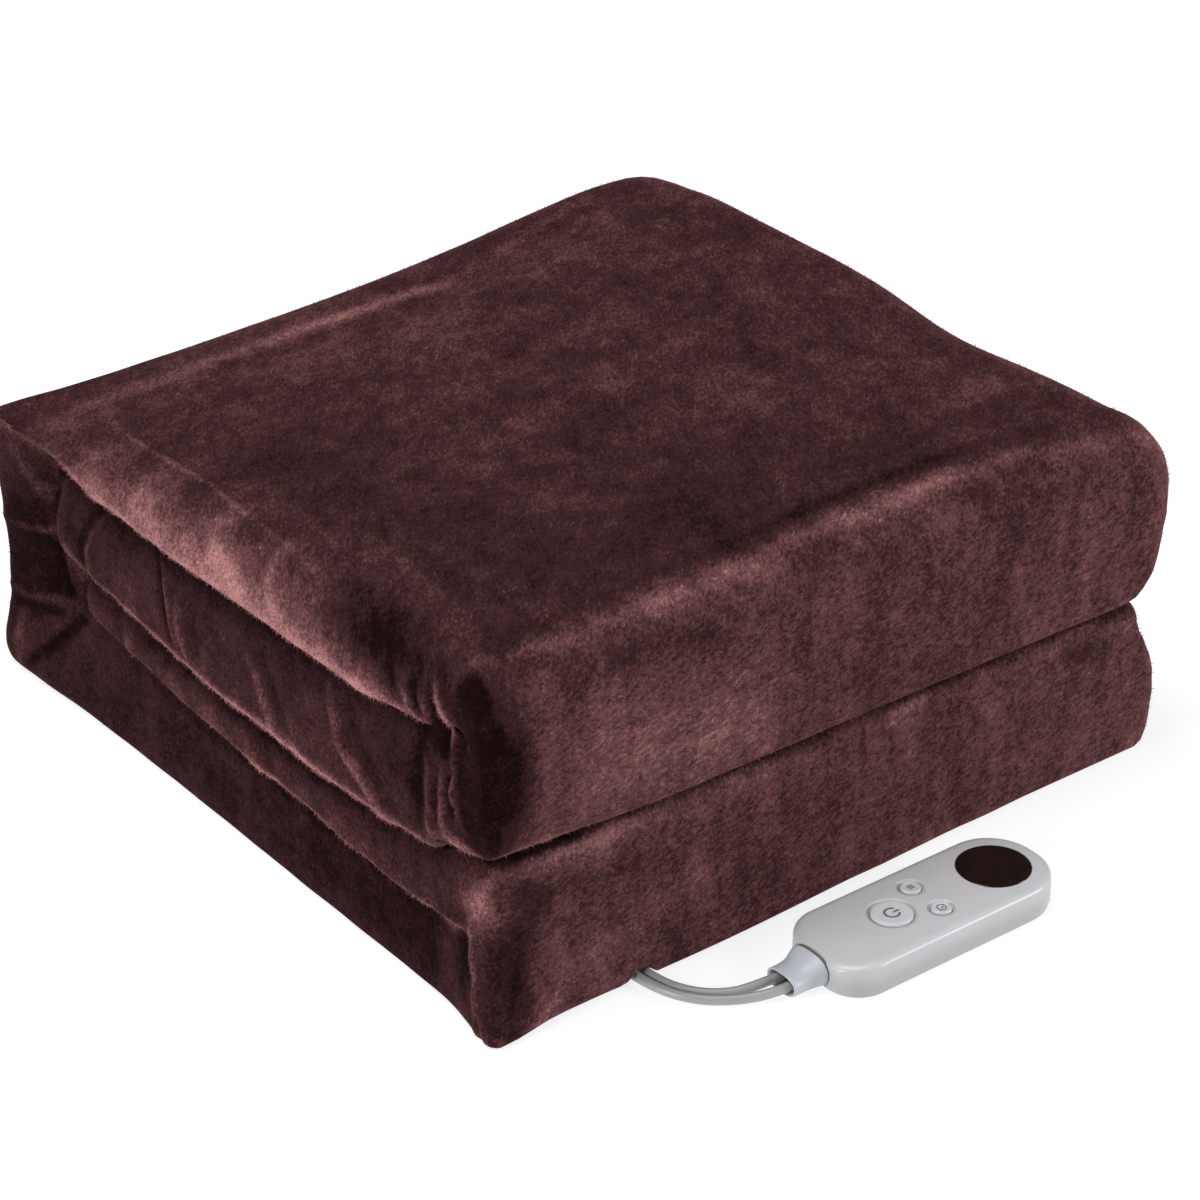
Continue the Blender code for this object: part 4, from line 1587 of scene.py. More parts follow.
@dataclass
class Throw:
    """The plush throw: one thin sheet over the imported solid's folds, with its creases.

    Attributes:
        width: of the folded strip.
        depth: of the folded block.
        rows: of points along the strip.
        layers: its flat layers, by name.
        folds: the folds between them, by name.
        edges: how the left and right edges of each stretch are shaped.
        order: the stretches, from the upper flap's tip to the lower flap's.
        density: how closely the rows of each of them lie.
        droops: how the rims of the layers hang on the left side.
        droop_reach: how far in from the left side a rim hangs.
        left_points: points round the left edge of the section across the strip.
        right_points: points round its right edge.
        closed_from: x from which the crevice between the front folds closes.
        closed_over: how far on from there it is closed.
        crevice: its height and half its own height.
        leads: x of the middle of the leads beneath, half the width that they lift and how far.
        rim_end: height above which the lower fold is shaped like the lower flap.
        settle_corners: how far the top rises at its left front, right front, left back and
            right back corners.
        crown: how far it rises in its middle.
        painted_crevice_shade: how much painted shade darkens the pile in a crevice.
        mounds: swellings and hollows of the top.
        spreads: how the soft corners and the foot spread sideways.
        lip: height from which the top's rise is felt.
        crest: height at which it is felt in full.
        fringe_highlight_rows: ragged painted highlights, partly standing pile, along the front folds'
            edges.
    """

    width: float = 438.0
    depth: float = 448.0
    rows: int = 730
    layers: dict[str, Layer] = field(
        default_factory=lambda: {
            "upper flap": Layer(46, 372, (85, 82, 95), (146, 146, 144)),
            "top": Layer(46, 386, (149, 149, 149), (196, 198, 190)),
            "bottom": Layer(46, 384, (0, 0, 0), (46, 53, 60)),
            "lower flap": Layer(46, 348, (49, 56, 66), (82, 79, 91)),
        }
    )
    folds: dict[str, Fold] = field(
        default_factory=lambda: {
            "upper fold": Fold(87, 196, 17, 33, 0, 25, 6, 0),
            "spine": Fold(0, 190, 8, 34, 449, 404),
            "lower fold": Fold(0, 84, 4, 17, -2, 26, 0, 13),
        }
    )
    edges: dict[str, SideEdges] = field(
        default_factory=lambda: {
            "upper flap": SideEdges((0.88, 9, 20, 0), (0.40, 20, 8, 4)),
            "upper fold": SideEdges((0.62, 8, 8, 2), (0.45, 26, 8, -1)),
            "top": SideEdges((0.07, 38, 4, 0), (0.28, 34, 8, 0)),
            "spine": SideEdges((0.74, 6, 14, 1), (0.45, 22, 12, 2)),
            "bottom": SideEdges((0.94, 3, 9, 1), (0.60, 9, 9, 2)),
            "lower fold": SideEdges((0.86, 4, 8, 0), (0.50, 16, 8, 3)),
            "lower flap": SideEdges((0.16, 13, 5, 1), (0.34, 18, 7, 6)),
        }
    )
    order: tuple[str, ...] = (
        "upper flap", "upper fold", "top", "spine", "bottom", "lower fold", "lower flap",
    )  # fmt: skip
    density: tuple[float, ...] = (1.35, 1.2, 1.15, 0.8, 0.6, 1.2, 1.15)
    droops: dict[str, Droop] = field(
        default_factory=lambda: {
            "top": Droop(
                (20, 60, 120, 190, 260, 310, 360, 410),
                (1, 5, 8, 8, 9, 7, 8, 2), 3.0, False,
            ),
            "upper flap": Droop(
                (20, 50, 84, 117, 148, 178, 219, 265, 313, 360),
                (1, 9, 7, 8, 10, 7, 8, 6, 5, 3), 1.0, True,
            ),
            "lower flap": Droop(
                (4, 20, 45, 80, 109, 158, 195, 212, 278, 330),
                (0, 3, 4, 6, 6, 5, 7, 5, 5, 3), 1.0, False,
            ),
        }
    )  # fmt: skip
    droop_reach: float = 15.0
    left_points: int = 60
    right_points: int = 13
    closed_from: float = 18.0
    closed_over: float = 80.0
    crevice: tuple[float, float] = (92.0, 22.0)
    leads: tuple[float, float, float] = (84.0, 7.0, 5.6)
    rim_end: float = 54.0
    settle_corners: tuple[float, ...] = (-7, -13, -49, 6)
    crown: float = 3.0
    painted_crevice_shade: float = 0.50
    mounds: tuple[tuple[float, ...], ...] = (
        # x, y, half widths along x and y, and rise, in millimetres
        (394, 291, 110, 125, 4.0),
        (250, 440, 130, 60, -8.5),
        (90, 446, 140, 60, -3.0),
        (440, 445, 40, 36, -9.0),
        (440, 362, 50, 60, 4.5),
        (440, 158, 60, 50, -8.0),
    )
    spreads: tuple[tuple[float, ...], ...] = (
        # x, y, z, half widths along them, and the shift along x and y, in millimetres
        (0, 4, 0, 26, 22, 20, -5.5, -7.5),
        (0, 430, 4, 16, 60, 26, -6.5, 3.0),
        (438, 448, 180, 34, 30, 60, -8.0, -4.0),
        (438, 0, 196, 24, 24, 26, -4.0, 3.0),
        (120, 0, 4, 110, 16, 22, 0.0, -6.0),
    )
    lip: float = 149.0
    crest: float = 196.0
    fringe_highlight_rows: tuple[tuple, ...] = (
        # x of the line's points, their y, half width, lowest and highest z, and how pale
        ((0, 60, 120, 160, 210, 250, 290, 330, 370, 424),
         (22, 18, 19, 21, 25, 26, 31, 29, 21, 10), 6.0, 150, 230, 0.18),
        ((0, 60, 430), (9, 6, 6), 3.6, 64, 86, 0.25),
    )  # fmt: skip

    # ---- section along the strip
    def layer_rows(self, name: str, outer_over: bool, backwards: bool) -> list[tuple[float, ...]]:
        """Return (outer y, outer z, inner y, inner z, right inset) down one flat layer.

        Args:
            name: the layer's name.
            outer_over: whether the strip's outer side is the layer's upper side.
            backwards: whether the strip runs from the layer's far end to its near end.

        Returns:
            The rows in the strip's order.
        """
        layer = self.layers[name]
        rows = []
        for k in range(15):
            share = k / 14
            y = layer.near + (layer.far - layer.near) * share
            under, over = (
                h[0] * (1 - share) + h[2] * share
                + (h[1] - (h[0] + h[2]) / 2) * 4 * share * (1 - share)
                for h in (layer.under, layer.over)
            )  # fmt: skip
            outer, inner = (over, under) if outer_over else (under, over)
            rows.append((y, outer, y, inner, 0.0))
        return rows[::-1] if backwards else rows

    def fold_rows(self, name: str, below: Sequence[float], above: Sequence[float]) -> list:
        """Return rows round one fold, from its low layer to its high layer.

        Args:
            name: the fold's name.
            below: the low layer's row next to it.
            above: the high layer's row next to it.

        Returns:
            The rows.
        """
        fold = self.folds[name]
        (start, low_z), (end, high_z) = below[2:4], above[2:4]
        side = 1 if start > fold.face else -1
        low_top = fold.low + fold.low_round
        rise = fold.high - fold.high_round - low_top
        outline = [((start + fold.face + side * fold.low_round) / 2, fold.low)]
        quarter = [math.radians(22.5 * k) for k in range(5)]
        for turn in quarter:
            y = fold.face + side * fold.low_round * (1 - math.sin(turn))
            outline.append((y, low_top - fold.low_round * math.cos(turn)))
        for k in range(1, 5):
            bow = 1.6 * math.sin(math.pi * k / 5)
            outline.append((fold.face - side * bow, low_top + rise * k / 5))
        for turn in quarter:
            y = fold.face + side * fold.high_round * (1 - math.cos(turn))
            outline.append((y, fold.high - fold.high_round * (1 - math.sin(turn))))
        outline.append(((end + fold.face + side * fold.high_round) / 2, fold.high))
        rows = []
        for k, (y, z) in enumerate(outline):
            share = (k + 1) / (len(outline) + 1)
            climb = ease((share - 0.16) / 0.68)
            flat, draw = (start, fold.low_draw) if share < 0.5 else (end, fold.high_draw)
            inner_y = fold.crease + (flat - fold.crease) * abs(2 * share - 1) ** 1.7
            inset = draw * math.sin(2 * math.pi * share) ** 2
            rows.append((y, z, inner_y, low_z + (high_z - low_z) * climb, inset))
        return rows

    def tip_rows(self, row: tuple[float, ...]) -> list[tuple[float, ...]]:
        """Round off a flap's end beyond its last row.

        Args:
            row: that row.

        Returns:
            Rows that run outwards.
        """
        y, middle, half = row[0], (row[1] + row[3]) / 2, (row[1] - row[3]) / 2
        rows = []
        for degrees in (28, 55, 72, 82):
            turn = math.radians(degrees)
            reach, spread = y + 18 * math.sin(turn), half * math.cos(turn)
            rows.append((reach, middle + spread, reach, middle - spread, 9 * (1 - math.cos(turn))))
        return rows

    def strip(self) -> tuple[np.ndarray, np.ndarray, np.ndarray]:
        """Lay the stretches end to end and refine their rows.

        Returns:
            Each row's outer y and z and inner y and z, its edges' sizes and its share of each
            stretch.
        """
        flap = self.layer_rows("upper flap", False, True)
        top = self.layer_rows("top", True, False)
        bottom = self.layer_rows("bottom", False, True)
        low = self.layer_rows("lower flap", True, False)
        runs = {
            "upper flap": self.tip_rows(flap[0])[::-1] + flap,
            "upper fold": self.fold_rows("upper fold", flap[-1], top[0]),
            "top": top,
            "spine": self.fold_rows("spine", bottom[0], top[-1])[::-1],
            "bottom": bottom,
            "lower fold": self.fold_rows("lower fold", bottom[-1], low[0]),
            "lower flap": low + self.tip_rows(low[-1]),
        }
        rows = np.array([r for name in self.order for r in runs[name]])
        owner = np.array([i for i, name in enumerate(self.order) for _ in runs[name]])
        table = [(*self.edges[name].left, *self.edges[name].right) for name in self.order]
        sizes = np.array(table)[owner]
        rounded = (owner == self.order.index("lower fold")) & (rows[:, 1] > self.rim_end)
        sizes[rounded, :4] = self.edges["lower flap"].left
        padded = np.vstack([sizes[:1]] * 2 + [sizes] + [sizes[-1:]] * 2)
        sizes = np.array([padded[i : i + 5].mean(axis=0) for i in range(len(rows))])
        tips = np.zeros(len(rows))
        tips[:4], tips[-4:] = rows[:4, 4], rows[-4:, 4]
        sizes[:, 3] += tips
        sizes[:, 7] += rows[:, 4]
        stretch = np.eye(len(self.order))[owner]
        gap = np.maximum(
            np.hypot(*np.diff(rows[:, 0:2], axis=0).T), np.hypot(*np.diff(rows[:, 2:4], axis=0).T)
        )
        weight = np.array(self.density)[owner]
        run = np.concatenate([[0.0], np.cumsum(np.maximum(gap, 0.5) * weight[1:])])
        at = np.linspace(0.0, run[-1], self.rows)
        inner, sizes, stretch = (
            np.stack([np.interp(at, run, column) for column in values.T], axis=1)
            for values in (rows[:, 2:4], sizes, stretch)
        )
        return np.hstack([catmull(run, rows[:, 0:2], at), inner]), sizes, stretch

    # ---- section across the strip
    @staticmethod
    def edge(
        at: np.ndarray, outer: np.ndarray, inner: np.ndarray, tall: np.ndarray, count: int
    ) -> tuple[np.ndarray, np.ndarray]:
        """Return evenly spaced points round one rounded edge, from the outer to the inner side.

        Args:
            at: share of the thickness at which each row's edge stands out most.
            outer: width of its outer rounding.
            inner: width of its inner rounding.
            tall: the rows' thickness.
            count: points to return.

        Returns:
            How far each point lies inside the edge, and its share of the thickness.
        """
        quarter = np.radians(np.linspace(0.0, 90.0, 60))[None, :]
        rise, drawn = np.cos(quarter), 1.0 - np.sin(quarter)
        over = np.stack([outer * drawn, at + (1 - at) * rise], axis=2)
        under = np.stack([inner * drawn[:, ::-1], at * (1 - rise[:, ::-1])], axis=2)
        curve = np.concatenate([over, under[:, 1:]], axis=1)
        scaled = curve * np.stack([np.ones_like(tall), tall], axis=2)
        step = np.linalg.norm(np.diff(scaled, axis=1), axis=2)
        run = np.pad(np.cumsum(step, axis=1), ((0, 0), (1, 0)))
        even = np.linspace(0.0, 1.0, count)
        reach = [[np.interp(even * r[-1], r, c[:, k]) for k in (0, 1)] for r, c in zip(run, curve)]
        return np.array(reach)[:, 0], np.array(reach)[:, 1]

    def skin(self) -> tuple[np.ndarray, np.ndarray]:
        """Put the section across the strip round each of its rows.

        Returns:
            The sheet's points as rows by ring by axis, and each row's share of each stretch.
        """
        rows, sizes, stretch = self.strip()
        l_at, l_out, l_in, l_inset, r_at, r_out, r_in, r_inset = np.split(sizes, 8, axis=1)
        tall = np.maximum(np.hypot(rows[:, 0:1] - rows[:, 2:3], rows[:, 1:2] - rows[:, 3:4]), 1.0)
        left, right = l_inset, self.width - r_inset
        near, thick_near = self.edge(l_at, l_out, l_in, tall, self.left_points)
        far, thick_far = self.edge(r_at, r_out, r_in, tall, self.right_points)
        over = np.concatenate([np.linspace(0.0, 0.26, 25), np.linspace(0.26, 1.0, 30)[1:]])[None, 1:-1]
        under = np.linspace(1.0, 0.0, 11)[None, 1:-1]
        x = np.concatenate(
            [
                (left + l_out) * (1 - over) + (right - r_out) * over,
                right - far,
                (left + l_in) * (1 - under) + (right - r_in) * under,
                (left + near)[:, ::-1],
            ],
            axis=1,
        )
        full, none = np.ones((len(rows), over.size)), np.zeros((len(rows), under.size))
        thick = np.concatenate([full, thick_far, none, thick_near[:, ::-1]], axis=1)
        y = rows[:, 2:3] + (rows[:, 0:1] - rows[:, 2:3]) * thick
        z = rows[:, 3:4] + (rows[:, 1:2] - rows[:, 3:4]) * thick
        for name, droop in self.droops.items():
            share = stretch[:, self.order.index(name)]
            if name == "lower flap":
                fold = stretch[:, self.order.index("lower fold")]
                share = share + fold * (rows[:, 1] > self.rim_end)
            share = np.clip(share, 0, 1)[:, None]
            low = thick if droop.outer else 1.0 - thick
            hang = share * low * np.exp(-((x / self.droop_reach) ** 2))
            z = z - hang * np.interp(y, droop.back, droop.down)
            x = x - hang * droop.out * np.interp(y, (0.0, 60.0, 300.0, 400.0), (0, 1, 1, 0))
        closing = np.clip((x - self.closed_from) / self.closed_over, 0.0, 1.0)
        level, half = self.crevice
        closing = closing * closing * (3 - 2 * closing) * np.exp(-(((z - level) / half) ** 4))
        front = y - closing * 0.72 * y * np.exp(-((y / 19.0) ** 2)) * (y < 80.0)
        return np.stack([x, front, self.settled(x, y, z)], axis=2), stretch

    def settled(self, x: np.ndarray, y: np.ndarray, z: np.ndarray) -> np.ndarray:
        """Let the soft pile settle over the lip's underside.

        Args:
            x: of the sheet's points.
            y: of the sheet's points.
            z: their heights before.

        Returns:
            Their heights after.
        """
        across, back = x / self.width, y / self.depth
        left_front, right_front, left_back, right_back = self.settle_corners
        front = left_front * (1 - across) + right_front * across
        rear = left_back * (1 - across) + right_back * across
        rise = front * (1 - back) + rear * back
        rise = rise + self.crown * np.sin(math.pi * across) * np.sin(math.pi * back)
        for at_x, at_y, half_x, half_y, tall in self.mounds:
            rise = rise + tall * np.exp(-(((x - at_x) / half_x) ** 2) - ((y - at_y) / half_y) ** 2)
        return z + rise * np.maximum(0.0, (z - self.lip) / (self.crest - self.lip))

    # ---- creases, swellings and painted light and shade
    def build(self) -> bpy.types.Object:
        """Returns:
            The sheet.
        """
        points, stretch = self.skin()
        normal = grid_normals(points)
        shift = self.unevenness(points, normal)
        # Painted light and shade go into the pile's paleness: first by which way each point faces, then
        # along the creases.
        nap_and_painted_light = self.painted_light_by_facing(normal, stretch)
        for crease in CREASES:
            shape = self.reach_of(crease, points, normal, stretch)
            shift += crease.depth * shape
            nap_and_painted_light += crease.nap_and_painted_light * shape
        # Painted light on raised relief, painted shade in its hollows, and painted highlights along the
        # front folds.
        nap_and_painted_light += 0.03 * np.clip(shift, -4.0, 4.0) + self.fringe_highlights(points, normal)
        points = points + normal * shift[:, :, None]
        points[:, :, 2] += self.over_leads(points)
        points[:, :, :2] += self.spread(points)
        points[:, :, 2] = np.maximum(points[:, :, 2], 0.05)
        normal = grid_normals(points)
        # Painted shade: the pile is darker where the crevices hide a point.
        nap_and_painted_light -= self.painted_crevice_shade * self.shelter(points, normal)
        made = self.mesh(points)
        side = 1.0 - np.clip(normal[:, :, 2] * 1.6 - 0.4, 0.0, 1.0)
        tufts = self.tufts(points, normal, nap_and_painted_light)
        for name, values in (("nap_and_painted_light", np.clip(nap_and_painted_light, 0.0, 1.2)), ("side", side), ("tufts", tufts)):
            layer = made.data.attributes.new(name, "FLOAT", "POINT")
            padded = np.pad(values, ((1, 1), (0, 0)), "edge")
            layer.data.foreach_set("value", padded.astype(np.float32).ravel())
        settle(made, ROOT, "plush", "folded_blanket")
        LOG.info("%s: held folded, %d by %d points", made.name, *points.shape[:2])
        return made

    def fringe_highlights(self, points: np.ndarray, normal: np.ndarray) -> np.ndarray:
        """Paint ragged highlights, partly standing pile, along the edges of both front folds.

        Args:
            points: the sheet's points.
            normal: its outward directions there.

        Returns:
            How much painted highlight each point gets.
        """
        x, y, z = points[:, :, 0], points[:, :, 1], points[:, :, 2]
        wave = 3.0 * np.sin(x / 5.9) + 2.2 * np.sin(x / 3.1 + 1.7) + 2.4 * np.sin(x / 15.7 + 0.6)
        tall = 0.62 + 0.38 * np.sin(x / 8.7 + 2.1) * np.sin(x / 21.0 + 0.5)
        outward = np.clip((0.3 - normal[:, :, 1]) / 0.3, 0.0, 1.0)
        total = np.zeros(x.shape)
        for line, back, half, low, high, pale in self.fringe_highlight_rows:
            middle = np.interp(x, line, back)
            band = np.exp(-(((y - middle - wave * half / 6.0) / half) ** 2))
            total += pale * tall * band * outward * ((z > low) & (z < high))
        return total

    @staticmethod
    def tufts(points: np.ndarray, normal: np.ndarray, nap_and_painted_light: np.ndarray) -> np.ndarray:
        """Choose where separate tips of the pile stand.

        Args:
            points: the sheet's points.
            normal: its outward directions there.
            nap_and_painted_light: how pale the pile is there, painted light and shade included.

        Returns:
            How thickly they stand at each point, from 0 to 1.
        """
        seen = np.clip((normal @ np.array([-0.55, -0.70, 0.46]) + 0.30) / 0.15, 0.0, 1.0)
        seen = seen * np.clip((points[:, :, 2] - 3.0) / 2.0, 0.0, 1.0)
        brushed_and_lit = np.clip((nap_and_painted_light - 0.46) / 0.30, 0.0, 1.0)
        ragged = 0.6 + 0.4 * np.sin(points[:, :, 0] / 5.3 + np.sin(points[:, :, 1] / 4.1) * 2.0)
        return seen * (0.04 + 0.96 * brushed_and_lit * ragged)

    def reach_of(
        self, crease: Crease, points: np.ndarray, normal: np.ndarray, stretch: np.ndarray
    ) -> np.ndarray:
        """Measure how strongly one crease is felt.

        Args:
            crease: the crease.
            points: the sheet's points.
            normal: its outward directions there.
            stretch: each row's share of each stretch.

        Returns:
            Its strength at each point, 1 on its line.
        """
        drawn = points[:, :, crease.face.axes]
        line = np.array(crease.line, float)
        best = np.full(drawn.shape[:2], 1e9)
        along = np.zeros(drawn.shape[:2])
        sign = np.ones(drawn.shape[:2])
        count = len(line) - 1
        for k, (a, b) in enumerate(zip(line, line[1:])):
            way = b - a
            t = np.clip(((drawn - a) @ way) / (way @ way), 0.0, 1.0)
            off = drawn - (a + t[:, :, None] * way)
            far = np.hypot(off[:, :, 0], off[:, :, 1])
            closer = far < best
            best = np.where(closer, far, best)
            along = np.where(closer, (k + t) / count, along)
            side = way[0] * off[:, :, 1] - way[1] * off[:, :, 0]
            sign = np.where(closer, np.where(side >= 0, 1.0, -1.0), sign)
        reach = best / crease.width
        if crease.form is Form.LAP:
            steep = np.exp(-((best / (crease.width * 0.28)) ** 2))
            shape = np.where(sign > 0, np.exp(-(reach**2)), steep)
        else:
            shape = np.exp(-((reach * 1.5) ** 2))
        fade = np.sin(math.pi * np.clip(along, 0.08, 0.92)) ** 0.6
        facing = np.clip((normal @ crease.face.outward - 0.10) / 0.30, 0.0, 1.0)
        rows = sum(stretch[:, self.order.index(n.strip())] for n in crease.stretches.split(","))
        return shape * fade * facing * np.clip(rows, 0, 1)[:, None]

    @staticmethod
    def unevenness(points: np.ndarray, normal: np.ndarray) -> np.ndarray:
        """Make all that shows softly uneven.

        Args:
            points: the sheet's points.
            normal: its outward directions there.

        Returns:
            How far each point moves outwards, in millimetres.
        """
        x, y, z = points[:, :, 0], points[:, :, 1], points[:, :, 2]
        broad = np.sin(x / 37 + y / 61 + 0.7) * np.sin(y / 43 - z / 29 + 1.9)
        broad += 0.6 * np.sin(x / 19 - y / 23 + z / 17) * np.sin(x / 29 + z / 13 + 0.4)
        fine = np.sin(x / 8.3 + z / 5.1 + 1.1) * np.sin(y / 7.7 + z / 6.3 + x / 21)
        upright = 1.0 - np.abs(normal[:, :, 2])
        shown = np.clip(1.6 * upright, 0.25, 1.0) * np.where(normal[:, :, 2] < -0.8, 0.0, 1.0)
        return (0.75 * broad + 0.22 * fine) * shown

    def over_leads(self, points: np.ndarray) -> np.ndarray:
        """Lift the cloth over the two leads beneath it.

        Args:
            points: the sheet's points.

        Returns:
            How far each point rises, in millimetres.
        """
        middle, half, rise = self.leads
        lifted = np.exp(-(((points[:, :, 0] - middle) / half) ** 4))
        return rise * lifted * np.clip(1 - points[:, :, 2] / 20, 0.0, 1.0)

    def spread(self, points: np.ndarray) -> np.ndarray:
        """Spread the soft corners and the foot sideways.

        Args:
            points: the sheet's points.

        Returns:
            How far each point moves along X and Y, in millimetres.
        """
        x, y, z = points[:, :, 0], points[:, :, 1], points[:, :, 2]
        moved = np.zeros((*x.shape, 2))
        for at_x, at_y, at_z, half_x, half_y, half_z, dx, dy in self.spreads:
            felt = np.exp(
                -(((x - at_x) / half_x) ** 2)
                - ((y - at_y) / half_y) ** 2
                - ((z - at_z) / half_z) ** 2
            )
            moved += felt[:, :, None] * np.array([dx, dy])
        return moved

    def shelter(self, points: np.ndarray, normal: np.ndarray) -> np.ndarray:
        """Find how deep the points near the left side lie in its crevices.

        Args:
            points: the sheet's points.
            normal: its outward directions there.

        Returns:
            How hidden each point is, from 0 to 1.
        """
        shape = points.shape[:2]
        flat, out = points.reshape(-1, 3), normal.reshape(-1, 3)
        tree = BVHTree.FromPolygons(flat.tolist(), tube_faces(*shape).tolist())
        hidden = np.zeros(len(flat))
        ways = np.array([(0, 0, 0), (-1, 0, 0.9), (-0.6, 0.8, 0), (-0.6, -0.8, 0), (-0.6, 0, -0.9)])
        farthest = 45.0
        for i in np.nonzero(flat[:, 0] < 60.0)[0]:
            start = Vector(flat[i] + out[i] * 0.6)
            for way in ways:
                reach = tree.ray_cast(start, Vector(out[i] + way * 1.2), farthest)[3]
                hidden[i] += 0.0 if reach is None else (1.0 - reach / farthest) / len(ways)
        return hidden.reshape(shape)

    def painted_light_by_facing(self, normal: np.ndarray, stretch: np.ndarray) -> np.ndarray:
        """Paint light and shade by which way each point faces, before the creases.

        Args:
            normal: the sheet's outward directions.
            stretch: each row's share of each stretch.

        Returns:
            How pale the pile is at each point, as painted light and shade.
        """
        left, front = np.clip(-normal[:, :, 0], 0, 1), np.clip(-normal[:, :, 1], 0, 1)
        upper = np.clip(stretch[:, self.order.index("top")], 0, 1)[:, None]
        return 0.30 + 0.16 * front - 0.06 * left + 0.14 * left * upper

    def mesh(self, points: np.ndarray) -> bpy.types.Object:
        """Turn the grid of points into the sheet, its two ends turned in as hems.

        Args:
            points: the sheet's points.

        Returns:
            The sheet.
        """
        hem_in, hem_out = points[:1].copy(), points[-1:].copy()
        for hem, inner in ((hem_in, points[6:7]), (hem_out, points[-7:-6])):
            centre = hem.mean(axis=1, keepdims=True)
            hem += (inner.mean(axis=1, keepdims=True) - centre) * 0.8
            hem[:, :, 0] = centre[:, :, 0] + (hem[:, :, 0] - centre[:, :, 0]) * 0.97
        grid = np.concatenate([hem_in, points, hem_out])
        quads = tube_faces(*grid.shape[:2])
        flat = grid.reshape(-1, 3) * MM
        flat -= np.array([self.width / 2, self.depth / 2, 0.0]) * MM
        return piece("plush_throw", flat.tolist(), quads.tolist(), PLUSH, 80)


@dataclass
class Pile:
    """Separate tips of the pile that stand up where it is brushed.

    Attributes:
        count: how many tips.
        length: of a tip, in metres.
        radius: of its root, in metres.
        lean: direction that is added to the cloth's own outward direction.
        unruly: how far a tip strays from it.
        paler: range of how much paler a tip is than the pile round it.
        sizes: range of a tip's size.
        seed: of every random choice.
    """

    count: int = 48000
    length: float = 0.0018
    radius: float = 0.00016
    lean: Point = (0.35, -0.10, 0.20)
    unruly: float = 0.40
    paler: tuple[float, float] = (-0.08, 0.42)
    sizes: tuple[float, float] = (0.55, 1.25)
    seed: int = 7

    def build(self, throw: bpy.types.Object) -> bpy.types.Object:
        """Grow the tips on the throw with Geometry Nodes.

        Args:
            throw: the sheet, which holds how thickly they stand as its attribute tufts.

        Returns:
            All the tips as one plain mesh.
        """
        obj = bpy.data.objects.new("plush_tips", throw.data.copy())
        bpy.context.scene.collection.objects.link(obj)
        growth = GeometryTree(
            "grow_tips",
            (
                ("Density", "NodeSocketFloat", self.count / self.weighted_area(throw.data)),
                ("Length", "NodeSocketFloat", self.length),
                ("Radius", "NodeSocketFloat", self.radius),
                ("Lean", "NodeSocketVector", self.lean),
                ("Unruly", "NodeSocketVector", (self.unruly,) * 3),
                ("Least paler", "NodeSocketFloat", self.paler[0]),
                ("Most paler", "NodeSocketFloat", self.paler[1]),
                ("Seed", "NodeSocketInt", self.seed),
                ("Finish", "NodeSocketMaterial", PLUSH.material()),
            ),
        )
        tree, wiring, given = growth.start()
        take = given.outputs
        thickly = wiring.stored("tufts") * take["Density"]
        sockets = {"Mesh": take["Geometry"], "Density": thickly, "Seed": take["Seed"]}
        roots = wiring.node("GeometryNodeDistributePointsOnFaces", None, sockets)
        sockets = {"Vertices": 3, "Radius Bottom": take["Radius"], "Depth": take["Length"]}
        tip = wiring.node("GeometryNodeMeshCone", {"fill_type": "NGON"}, sockets)
        sockets = {0: take["Unruly"], "Scale": -1.0}
        least = wiring.node("ShaderNodeVectorMath", {"operation": "SCALE"}, sockets)
        sockets = {0: least.outputs["Vector"], 1: take["Unruly"], "Seed": take["Seed"]}
        stray = wiring.node("FunctionNodeRandomValue", {"data_type": "FLOAT_VECTOR"}, sockets)
        way = roots.outputs["Normal"]
        for more in (take["Lean"], stray.outputs["Value"]):
            added = wiring.node("ShaderNodeVectorMath", {"operation": "ADD"}, {0: way, 1: more})
            way = added.outputs["Vector"]
        turn = wiring.node("FunctionNodeAlignRotationToVector", {"axis": "Z"}, {"Vector": way})
        single = {"data_type": "FLOAT"}
        sockets = {2: self.sizes[0], 3: self.sizes[1], "Seed": take["Seed"]}
        size = wiring.value("FunctionNodeRandomValue", single, sockets, 1)
        sockets = {2: take["Least paler"], 3: take["Most paler"], "Seed": take["Seed"]}
        paler = wiring.value("FunctionNodeRandomValue", single, sockets, 1)
        shade = wiring.stored("nap_and_painted_light") + paler
        sockets = {"Geometry": roots.outputs["Points"], "Name": "nap_and_painted_light", "Value": shade}
        per_point = {"data_type": "FLOAT", "domain": "POINT"}
        shaded = wiring.node("GeometryNodeStoreNamedAttribute", per_point, sockets)
        sockets = {
            "Points": shaded.outputs["Geometry"],
            "Instance": tip.outputs["Mesh"],
            "Rotation": turn.outputs["Rotation"],
            "Scale": size,
        }
        grown = wiring.node("GeometryNodeInstanceOnPoints", None, sockets)
        growth.end(wiring, grown.outputs["Instances"], take["Finish"])
        made = growth.run(tree, obj)
        settle(made, ROOT, "plush")
        return made

    @staticmethod
    def weighted_area(mesh: bpy.types.Mesh) -> float:
        """Weight the mesh's area by its attribute tufts.

        Args:
            mesh: the sheet's mesh.

        Returns:
            The area in square metres.
        """
        thickly = np.zeros(len(mesh.vertices), np.float32)
        mesh.attributes["tufts"].data.foreach_get("value", thickly)
        return sum(f.area * float(thickly[list(f.vertices)].mean()) for f in mesh.polygons)


